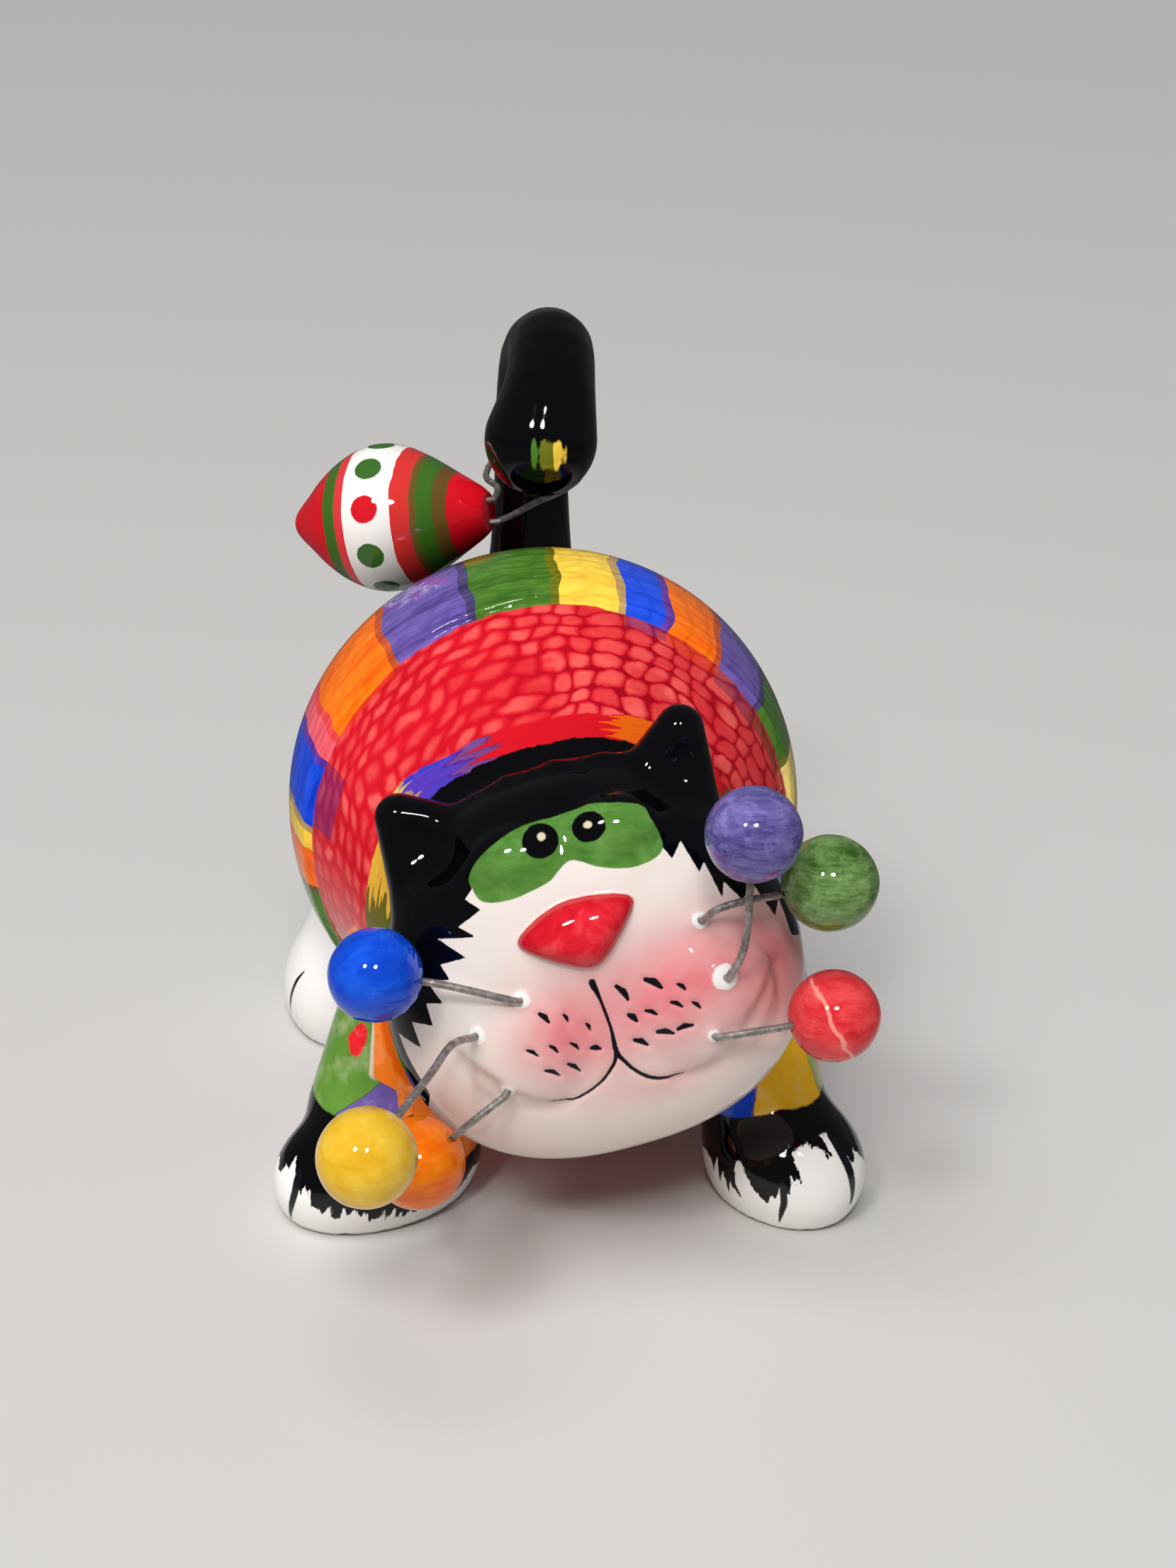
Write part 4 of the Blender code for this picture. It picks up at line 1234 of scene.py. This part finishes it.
def back_paint(on):
    """The back's colour, how far its wool stands out, and the streaks of the brush on it."""
    x, y, z = split(on.place)
    from_middle = z - TORSO_PLACE[2]
    turn = maths("ARCTAN2", x, from_middle)
    degrees = turn * (180.0 / math.pi)
    back = y - TORSO_PLACE[1]
    side = maths("SQRT", x * x + from_middle * from_middle)
    along = maths("ARCTAN2", side, back * -1.0) * KNIT_RADIUS
    streak = on.streaks(0.11, 1.1, 1.0, place=joined(turn * 40.0, along))

    # Red knit: loose leaning dabs on the left, a neat grid with dark lines on the right
    neat = spread(degrees + noise(on.place, 0.08, 1.0) * 40.0, -5.0, 35.0)
    lean, offset, dark, outer, inner = (spread(neat, 0.0, 1.0, loose, tight) for loose, tight in (
        (-0.5, 0.0), (0.5, 0.12), (0.2, 0.85), (0.88, 1.02), (0.3, 0.6)))
    knit = knit_rows(on.tree, turn=turn, along=along, place=on.place, lean=lean, offset=offset)
    blob = spread(knit, outer, inner, smooth=True)
    patchy = spread(noise(on.place, 0.17, 3.0, 0.6), 0.36, 0.62, 0.3, 1.0)
    dab = spread(knit.other("Chance"), 0.0, 1.0, 0.2, 1.0) * patchy + streak * 0.25
    colour = mix(spread(noise(on.place, 0.07, 3.0, 0.5), 0.35, 0.65), KNIT_RED, KNIT_RED_DEEP)
    colour = mix(maths("MULTIPLY", blob, dab, clamp=True), colour, KNIT_DAB)
    colour = mix(streak * 0.16, colour, KNIT_STREAK)
    colour = mix(spread(knit, 0.88, 1.04, smooth=True) * dark, colour, KNIT_LINE)

    # Band of patches over the back, streaked the way it was brushed
    off_band = on.read("band")
    reach = ramp((degrees + 180.0) / 360.0, patch_stops(BAND_OVERLAPS)) * 10.0
    band = patch_colours(on.place, degrees, BAND_PATCHES, 4.0, 0.12)
    overlap = mix(0.5, mix(1.0, band, BAND_OVER_RED, "MULTIPLY"), colour)
    bright = band * (1.5, 1.5, 1.6) + (0.03, 0.03, 0.01)
    band = mix(streak * 0.55 + blob * 0.3, band, bright)
    band = mix(spread(streak, 0.6, 0.0) * 0.6, band, deepened(band))
    colour = mix(on.paint((off_band + reach) * -1.0, 1.6, 0.25, 0.15), colour, overlap)
    colour = mix(on.paint(off_band * -1.0, 1.2, 0.25, 0.15), colour, band)

    # Black rump and tail, its fur edge brushed towards the band
    tufts = noise(joined(turn * 14.0, 0.0), 1.0, 2.0, 0.6) * 5.0
    rump = on.paint(spread(z, 76.0, 34.0) * 11.0 + 13.0 - back - tufts, 0.6, 0.8, 0.1)
    raised = spread(off_band, 0.2, 1.4, 0.0, 0.35, smooth=True) + blob * between(rump, 0.05, 0.0)
    lift = raised * on.read("back") * spread(back, 26.0, 16.0, smooth=True)
    return mix(rump, colour, BLACK), lift, streak


def sleeve_paint(on, colour):
    """Adds the patched front sleeves; the left one's purple patch rises to a point."""
    x, y, z = split(on.place)
    left_side = maths("LESS_THAN", x, SIDES_MEET)
    upright = spread(on.streaks(0.5, 0.5, 0.13), 0.0, 1.0, 0.0, 0.6)
    thin = spread(noise(on.place, 0.22, 3.0, 0.6), 0.52, 0.7, 0.0, 0.5)
    pointed = spread(z, 17.0, 23.0, 0.0, -60.0)
    for patches, middle, here, slant in ((LEFT_SLEEVE, LEFT_SLEEVE_MIDDLE, left_side, pointed),
                                         (RIGHT_SLEEVE, RIGHT_SLEEVE_MIDDLE, 1.0 - left_side, 0.0)):
        angle = round_angle(x - middle[0], middle[1] - y)
        swung = maths("MAXIMUM", angle + slant, maths("MINIMUM", angle, -90.0))
        sleeve = patch_colours(on.place, swung, patches, 14.0)
        if patches is LEFT_SLEEVE:
            rim = angle - spread(z, 20.2, 22.8, 26.0, 1.0, smooth=True) + swing(on.place, 0.2, 14.0)
            bare = spread(maths("ABSOLUTE", rim + 4.0), 5.0, 2.5) * spread(z, 21.8, 22.8)
            sleeve = mix(bare * 0.75, sleeve, SLEEVE_BARE)
            sleeve = mix(spread(rim, -1.0, 1.0), sleeve, SLEEVE_RIM)
            off_blot = vectors("LENGTH", (on.place - SLEEVE_BLOT) * (1.0, 1.0, 0.6), out=1)
            sleeve = mix(on.paint(off_blot - 1.7, 1.4, 0.5, 0.15), sleeve, RED)
        lighter = sleeve * (1.5, 1.4, 1.4) + (0.03, 0.03, 0.02)
        sleeve = mix(upright, sleeve, lighter)
        sleeve = mix(thin, sleeve, mix(0.45, lighter, SLEEVE_THIN))
        colour = mix(on.paint("sleeve", 1.5, 0.3, 0.2) * here, colour, sleeve)
    return colour


def paw_paint(on, colour):
    """Adds the white paws, with black fur on the front ones."""
    x, y, z = split(on.place)
    left_side = maths("LESS_THAN", x, SIDES_MEET)
    hind = maths("GREATER_THAN", y, -1.0)
    front_cuff = between(left_side, spread(x, 24.0, 34.0, 14.0, 17.5), spread(x, -22.0, -15.0, 16.7, 8.5))
    cuff = z - between(hind, front_cuff, HIND_CUFF_HEIGHT)
    off_legs = []
    for middle, apart, back_to, reach in WHITE_REACHES:
        off_leg = joined(maths("ABSOLUTE", x - middle) - apart, y - back_to)
        off_legs.append(vectors("LENGTH", off_leg, out=1) - reach)
    cuff = maths("MAXIMUM", cuff, between(hind, *off_legs))
    fringe = (noise(on.place * (1.8, 1.8, 0.25), 1.0, 3.0, 0.65) - 0.5) * 1.3
    paws = mix(on.paint(on.read("paw_fur") + fringe, 0.2, 0.9, 0.07), WHITE, BLACK)
    paws = mix(on.paint("toe", 0.15, 1.5, 0.1), paws, INK)
    return mix(on.paint(cuff, 0.8, 0.25, 0.12), colour, paws)


def collar_paint(on, colour, streak):
    """Adds the collar's patches and the black neck."""
    x, _, z = split(on.place)
    off_head = on.read("off_head")
    degrees = round_angle(x - HEAD_PLACE[0], z - HEAD_PLACE[2])
    swirl = joined(degrees * 0.02, off_head * 1.5)
    collar = patch_colours(swirl, degrees, COLLAR_PATCHES, 28.0, 1.0)
    collar = mix(on.streaks(1.0, 1.6, 1.0, place=swirl) * 0.35, collar, COLLAR_BRISTLE)
    collar = mix(streak * 0.3, collar, deepened(collar))
    width = spread(z, 30.0, 38.0, 6.2, 7.5)
    colour = mix(on.paint(off_head - width, 1.4, 0.3, 0.15) * spread(z, 17.0, 17.4), colour, collar)
    neck_width = spread(maths("ABSOLUTE", degrees + 12.0), 34.0, 60.0, 1.0, 0.3) * 3.8
    return mix(on.paint(off_head - neck_width, 1.2, 0.5, 0.08) * spread(z, 20.0, 21.0), colour, BLACK)


def face_paint(on):
    """The face's colour: cream, deeper towards the chin partly with painted shade, and rouge, then each
    painted form over the one before.
    """
    _, _, z = split(on.place)
    # Towards the chin the cream turns deeper and greyer: partly the glaze's own cream, partly painted shade
    # under the face
    face = mix(spread(z, 42.0, 24.0, 0.0, 0.7), on.wash(CREAM_WASH, 0.06, 0.5), CHIN_CREAM_AND_SHADE)
    mottled = spread(noise(on.place * (0.5, 1.0, 0.25), 0.5, 3.0), 0.3, 0.7, 0.86, 1.06)
    blush = spread(on.read("blush"), 0.04, 1.0, 0.0, 0.95)
    face = mix(maths("MULTIPLY", blush, mottled, clamp=True), face, ROUGE)
    # Painted shade: a brownish darkening along the smile creases
    face = mix(spread(on.read("crease"), 1.0, -0.6, 0.0, 0.22, smooth=True), face, CREASE_SHADE)
    mask = mix(on.streaks(0.3, 1.5, 1.5) * 0.4, on.wash(MASK_WASH, 0.25, 0.8), MASK_STREAK)
    nose_rim = spread(on.read("nose"), -2.2, 0.0, 0.0, 0.75, smooth=True)
    nose = mix(nose_rim, on.wash(NOSE_WASH, 0.3, 0.8), NOSE_EDGE)
    for name, wobble, fineness, softness, paint in (
        ("fur", 0.25, 1.0, 0.06, BLACK), ("mask", 0.2, 0.6, 0.08, mask), ("nose", 0.2, 0.8, 0.1, nose),
        ("ink", 0.2, 1.6, 0.07, INK), ("pupil", 0.25, 0.8, 0.06, BLACK), ("glint", 0.3, 1.5, 0.1, GLINT),
        ("ring", 0.9, 0.9, 0.12, GLAZE_RING),
    ):
        face = mix(on.paint(name, wobble, fineness, softness), face, paint)
    return face


def glazed_cat_material():
    material, tree, shader = new_material("glazed cat")
    on = Surface(tree)
    colour, lift, streak = back_paint(on)
    colour = collar_paint(on, paw_paint(on, sleeve_paint(on, colour)), streak)
    colour = mix(spread(on.read("off_head"), 0.25, 0.45, 1.0, 0.0), colour, face_paint(on))
    # Grey-green along the lowest edge of the feet: partly glaze pooled there, partly painted contact shadow
    glaze_and_shadow = spread(split(on.place)[2], 0.75, 0.45, 0.0, 0.55)
    fire_glaze(shader, on.place, mix(glaze_and_shadow, colour, FOOT_GLAZE_AND_SHADOW), 0.05, lift)
    return material


def bead_material(name):
    material, tree, shader = new_material(name + " bead")
    on = Surface(tree)
    paints, streaks = BEAD_PAINTS[name]
    colour = mix(on.streaks(0.16, 0.5, 0.95) * streaks, on.wash(paints, 0.22, 0.7), paints[1])
    clouds = spread(noise(on.place, 0.5, 5.0, 0.65), 0.54, 0.7)
    colour = mix(clouds * (streaks * 0.8), colour, paints[1])
    dry = on.streaks(0.3, 1.0, 2.6, thin=0.42).other("Thin paint")
    colour = mix(dry * (streaks * 0.6), colour, deepened(colour))
    if name == "red":
        middle, across, facing, bow = RED_BEAD_LINE
        local = on.place - middle
        off_line = vectors("DOT_PRODUCT", local, across, out=1) + swing(on.place, 0.3, bow, 2.0)
        stroke = on.paint(maths("ABSOLUTE", off_line) - 0.28, 0.4, softness=0.12)
        front = spread(vectors("DOT_PRODUCT", local, facing, out=1), 0.5, 2.0)
        colour = mix(stroke * front, colour, RED_BEAD_STROKE)
    fire_glaze(shader, on.place, colour, 0.04)
    return material


def steel_material():
    material, tree, shader = new_material("whisker wire")
    place = place_on_figure(tree)
    cloud = noise(place, 0.9, 4.0, 0.65)
    fill(shader, {
        "Base Color": ramp(cloud, STEEL_SHADES, "LINEAR"), "Roughness": spread(cloud, 0.3, 0.7, 0.62, 0.34),
        "Metallic": 0.7, "Normal": bumped(noise(place, 3.0, 4.0, 0.7) * 0.06),
    })
    return material


def ornament_material():
    material, tree, shader = new_material("striped ornament")
    on = Surface(tree)
    along = on.read("along")
    wave = noise(on.place, 0.25, 2.0)
    colour = ramp(along + (wave - 0.5) * 0.02, ORNAMENT_BANDS)
    for name, paint in ORNAMENT_DOTS.items():
        colour = mix(on.paint(name, 0.3, softness=0.08), colour, paint)
    streak = on.streaks(1.0, 1.0, 1.0, place=joined(along * 60.0, wave))
    fire_glaze(shader, on.place, mix(streak * 0.25, colour, deepened(colour)))
    return material


# ---------------------------------------------------------------- wires, beads and the ornament

def finished_tree(name, kinds, build):
    """A geometry tree with named inputs: what is built, smooth, made real and given its finish."""
    tree = bpy.data.node_groups.new(name, "GeometryNodeTree")
    tree.is_modifier = True
    for label, kind in (("Geometry", "Geometry"), *kinds, ("Finish", "Material")):
        new_socket(tree, label, "INPUT", kind)
    new_socket(tree, "Geometry", "OUTPUT", "Geometry")
    got = {socket.name: Value(tree, socket) for socket in tree.nodes.new("NodeGroupInput").outputs}
    smooth = add("GeometryNodeSetShadeSmooth", {"Geometry": build(got)})
    whole = add("GeometryNodeRealizeInstances", {"Geometry": smooth})
    painted = add("GeometryNodeSetMaterial", {"Geometry": whole, "Material": got["Finish"]})
    fill(tree.nodes.new("NodeGroupOutput"), {"Geometry": painted})
    return tree


def wire_form(got):
    """A round wire along a line of points."""
    path = add("GeometryNodeMeshToCurve", {"Mesh": got["Geometry"]})
    ring = add("GeometryNodeCurvePrimitiveCircle", {"Resolution": got["Sides"], "Radius": got["Radius"]})
    return add("GeometryNodeCurveToMesh", {"Curve": path, "Profile Curve": ring, "Fill Caps": True})


def bead_form(got):
    """A hand-turned bead, a little lumpy, with a dent where its wire goes in."""
    ball_mesh = add("GeometryNodeMeshIcoSphere", {"Radius": got["Radius"], "Subdivisions": 6})
    out = vectors("NORMALIZE", add("GeometryNodeInputPosition", {}, tree=ball_mesh.tree))
    lumps = add("ShaderNodeTexNoise", {"Vector": out + got["Middle"], "Scale": 1.6, "Detail": 1.0})
    facing = vectors("DOT_PRODUCT", out, got["Dent side"], out=1)
    dent = spread(facing, 0.985, 0.995, 0.0, -0.3 * MM, smooth=True)
    rise = (lumps - 0.62) * got["Lumps"] + dent
    offset = add("ShaderNodeVectorMath", {0: out, "Scale": rise}, operation="SCALE")
    moved = add("GeometryNodeSetPosition", {"Geometry": ball_mesh, "Offset": offset})
    return add("GeometryNodeTransform", {"Geometry": moved, "Translation": got["Middle"]})


def grown_mesh(name, tree, mesh, values):
    """The plain mesh that a geometry tree makes from a starting mesh and its named values."""
    maker = new_object(name + "_maker", mesh)
    modifier = maker.modifiers.new("made", "NODES")
    modifier.node_group = tree
    sockets = {item.name: item.identifier for item in tree.interface.items_tree if item.in_out == "INPUT"}
    for label, value in values.items():
        modifier[sockets[label]] = value
    depsgraph = bpy.context.evaluated_depsgraph_get()
    made = bpy.data.meshes.new_from_object(maker.evaluated_get(depsgraph), depsgraph=depsgraph)
    bpy.data.objects.remove(maker, do_unlink=True)
    made.name = name
    return made


def make_wire(name, node, tree, material, inside_start, free, inside_end, step):
    """A wire that bends smoothly between its free points and ends straight inside what it holds."""
    route = [inside_start, *smooth_route(free, step), inside_end]
    line = bpy.data.meshes.new(name + "_line")
    line.from_pydata(placed(route).tolist(), [(spot, spot + 1) for spot in range(len(route) - 1)], [])
    values = {"Radius": WIRE_RADIUS * MM, "Sides": 20, "Finish": material}
    new_piece(name, grown_mesh(name, tree, line, values), None, node)


def unit(values):
    values = np.asarray(values, float)
    return values / np.linalg.norm(values)


def make_whiskers(wires, steel):
    beads = finished_tree("painted bead", (
        ("Middle", "Vector"), ("Radius", "Float"), ("Lumps", "Float"), ("Dent side", "Vector")), bead_form)
    for colour, whisker in WHISKERS.items():
        mouth, leaves = np.asarray(whisker["mouth"]), unit(whisker["leaves"])
        bead, radius = np.asarray(whisker["bead"]), whisker["radius"]
        back = unit(np.asarray(whisker["bends"][-1]) - bead)
        free = [mouth + leaves * 0.9, *np.asarray(whisker["bends"]), bead + back * (radius + 0.6)]
        make_wire(f"wire_{colour}", f"whisker_wire_{colour}", wires, steel,
                  mouth - leaves * WIRE_SUNK, free, bead + back * (radius - WIRE_SUNK), 0.7)
        values = {"Middle": placed(bead).tolist(), "Radius": radius * MM, "Lumps": 0.25 * MM,
                  "Dent side": back.tolist(), "Finish": bead_material(colour)}
        mesh = grown_mesh(f"bead_{colour}", beads, bpy.data.meshes.new("bead_start"), values)
        new_piece(f"bead_{colour}", mesh, None, f"whisker_bead_{colour}")


def ornament_axes():
    """The drop's middle, its axis and two ways across it, the first as near upright as can be."""
    axis = unit(ORNAMENT_AXIS)
    apart = unit(np.array((0.0, 0.0, 1.0)) - axis * axis[2])
    return np.asarray(ORNAMENT_PLACE), axis, apart, np.cross(axis, apart)


def make_ornament(material):
    """The drop, turned on its axis from a rounded end to a flat neck, a little out of round."""
    middle, axis, apart, side = ornament_axes()
    route = smooth_route(np.asarray(ORNAMENT_PROFILE) * (ORNAMENT_LENGTH, 1.0), 0.4) / (ORNAMENT_LENGTH, 1.0)
    shares, radii = route[1:].T
    turns = 2.0 * math.pi * np.arange(ORNAMENT_STEPS) / ORNAMENT_STEPS
    ways = np.outer(np.cos(turns), apart) + np.outer(np.sin(turns), side)
    lean = radii[:, None] * (1.0 + 0.006 * np.sin(3.0 * turns + 5.0 * shares[:, None]))
    along_axis = middle + np.outer((shares - 0.5) * ORNAMENT_LENGTH, axis)
    rings = along_axis[:, None] + ways * lean[..., None]
    ends = middle - axis * ORNAMENT_LENGTH / 2.0, middle + axis * ORNAMENT_LENGTH / 2.0
    points = np.vstack([ends[0], rings.reshape(-1, 3), ends[1]])
    number = 1 + np.arange(len(shares) * ORNAMENT_STEPS).reshape(-1, ORNAMENT_STEPS)
    after = np.roll(number, -1, axis=1)
    start, end = np.zeros_like(number[0]), np.full_like(number[0], len(points) - 1)
    faces = np.stack([start, after[0], number[0]], axis=-1).tolist()
    faces += np.stack([number[:-1], after[:-1], after[1:], number[1:]], axis=-1).reshape(-1, 4).tolist()
    faces += np.stack([number[-1], after[-1], end], axis=-1).tolist()
    places = {"along": np.concatenate([[0.0], np.repeat(shares, ORNAMENT_STEPS), [1.0]])}
    sight = CAMERA_PLACE - middle
    towards_viewer = math.atan2(sight @ side, sight @ apart)
    for label, dots in (("red_dot", RED_DOTS), ("green_dot", GREEN_DOTS)):
        places[label] = np.full(len(points), FAR)
        for degrees in dots:
            angle = towards_viewer + math.radians(degrees)
            spot = (middle + axis * (DOT_SHARE - 0.5) * ORNAMENT_LENGTH
                    + (apart * math.cos(angle) + side * math.sin(angle)) * np.interp(DOT_SHARE, *route.T))
            reach = lengths(points - spot) - DOT_RADIUS
            places[label] = np.minimum(places[label], reach)
    mesh = new_mesh("ornament_painted", points, faces, places)
    new_piece("ornament_painted", mesh, material, "ornament")


def make_hanger(wires, steel):
    middle, axis, apart, _ = ornament_axes()
    neck = middle + axis * ORNAMENT_LENGTH / 2.0
    lower, upper = neck - apart * HANGER_HOLE_SPACING, neck + apart * HANGER_HOLE_SPACING
    free = [lower + axis * HANGER_STRAIGHT, *np.asarray(HANGER_BENDS), upper + axis * HANGER_STRAIGHT]
    make_wire("hanger_wire", "ornament_hanger", wires, steel,
              lower - axis * HANGER_INSIDE, free, upper - axis * HANGER_INSIDE, 0.8)


# ---------------------------------------------------------------- floor, light and camera

def make_floor():
    mesh = bpy.data.meshes.new("floor")
    corners = [(side * FLOOR_REACH, end * FLOOR_REACH, 0.0)
               for side, end in ((-1, -1), (1, -1), (1, 1), (-1, 1))]
    mesh.from_pydata(corners, [], [(0, 1, 2, 3)])
    floor = new_object("floor", mesh)
    material, tree, shader = new_material("pale floor")
    # Painted shade in reflections: seen in the glaze the floor darkens away from the figure, as a dim room
    # would look, while seen straight it stays evenly pale
    seen = add("ShaderNodeLightPath", {}, 3, tree)
    away = vectors("LENGTH", add("ShaderNodeTexCoord", {}, 3, tree), out=1)
    dim = seen * spread(away, 0.05, 0.18, 0.0, 0.9, smooth=True)
    fill(shader, {"Base Color": mix(dim, FLOOR_PALE, FLOOR_REFLECTED_SHADE), "Roughness": 0.6})
    mesh.materials.append(material)


def hang(name, light, place):
    """Places a light so that it shines at the figure."""
    holder = new_object(name, light)
    turn = (Vector(LIT_SPOT) - Vector(place)).to_track_quat("-Z", "Y").to_matrix().to_4x4()
    holder.matrix_world = Matrix.Translation(place) @ turn
    return holder


def make_lights():
    world = bpy.data.worlds.new("studio")
    bpy.context.scene.world = world
    world.use_nodes = True
    background = world.node_tree.nodes["Background"]
    background.inputs["Color"].default_value = ROOM_COLOUR
    background.inputs["Strength"].default_value = ROOM_STRENGTH
    sky = bpy.data.lights.new("wide soft light", "SUN")
    sky.angle = math.radians(SKY_WIDTH)
    sky.energy = SKY_STRENGTH
    hang("wide soft light", sky, SKY_PLACE).visible_glossy = False
    for name, place in LAMPS.items():
        lamp = bpy.data.lights.new(name, "AREA")
        lamp.shape = "DISK"
        lamp.size = LAMP_SIZE
        lamp.energy = LAMP_POWER
        hang(name, lamp, place)


def make_camera():
    turn, pitch, roll = (math.radians(value) for value in (CAMERA_TURN, CAMERA_PITCH, CAMERA_ROLL))
    ahead = np.array((-math.sin(turn) * math.cos(pitch), math.cos(turn) * math.cos(pitch), -math.sin(pitch)))
    right = np.array((math.cos(turn), math.sin(turn), 0.0))
    up = np.cross(right, ahead)
    camera = bpy.data.cameras.new("camera")
    camera.lens = CAMERA_LENS
    camera.clip_start = 0.01
    holder = new_object("camera", camera)
    matrix = np.eye(4)
    matrix[:3, 0] = right * math.cos(roll) + up * math.sin(roll)
    matrix[:3, 1] = -right * math.sin(roll) + up * math.cos(roll)
    matrix[:3, 2] = -ahead
    matrix[:3, 3] = placed(CAMERA_PLACE)
    holder.matrix_world = Matrix(matrix.tolist())
    bpy.context.scene.camera = holder


make_camera()
make_lights()
make_floor()
bpy.context.scene.view_settings.view_transform = "Standard"
make_cat(glazed_cat_material())
STEEL = steel_material()
WIRES = finished_tree("round wire", (("Radius", "Float"), ("Sides", "Int")), wire_form)
make_whiskers(WIRES, STEEL)
make_ornament(ornament_material())
make_hanger(WIRES, STEEL)
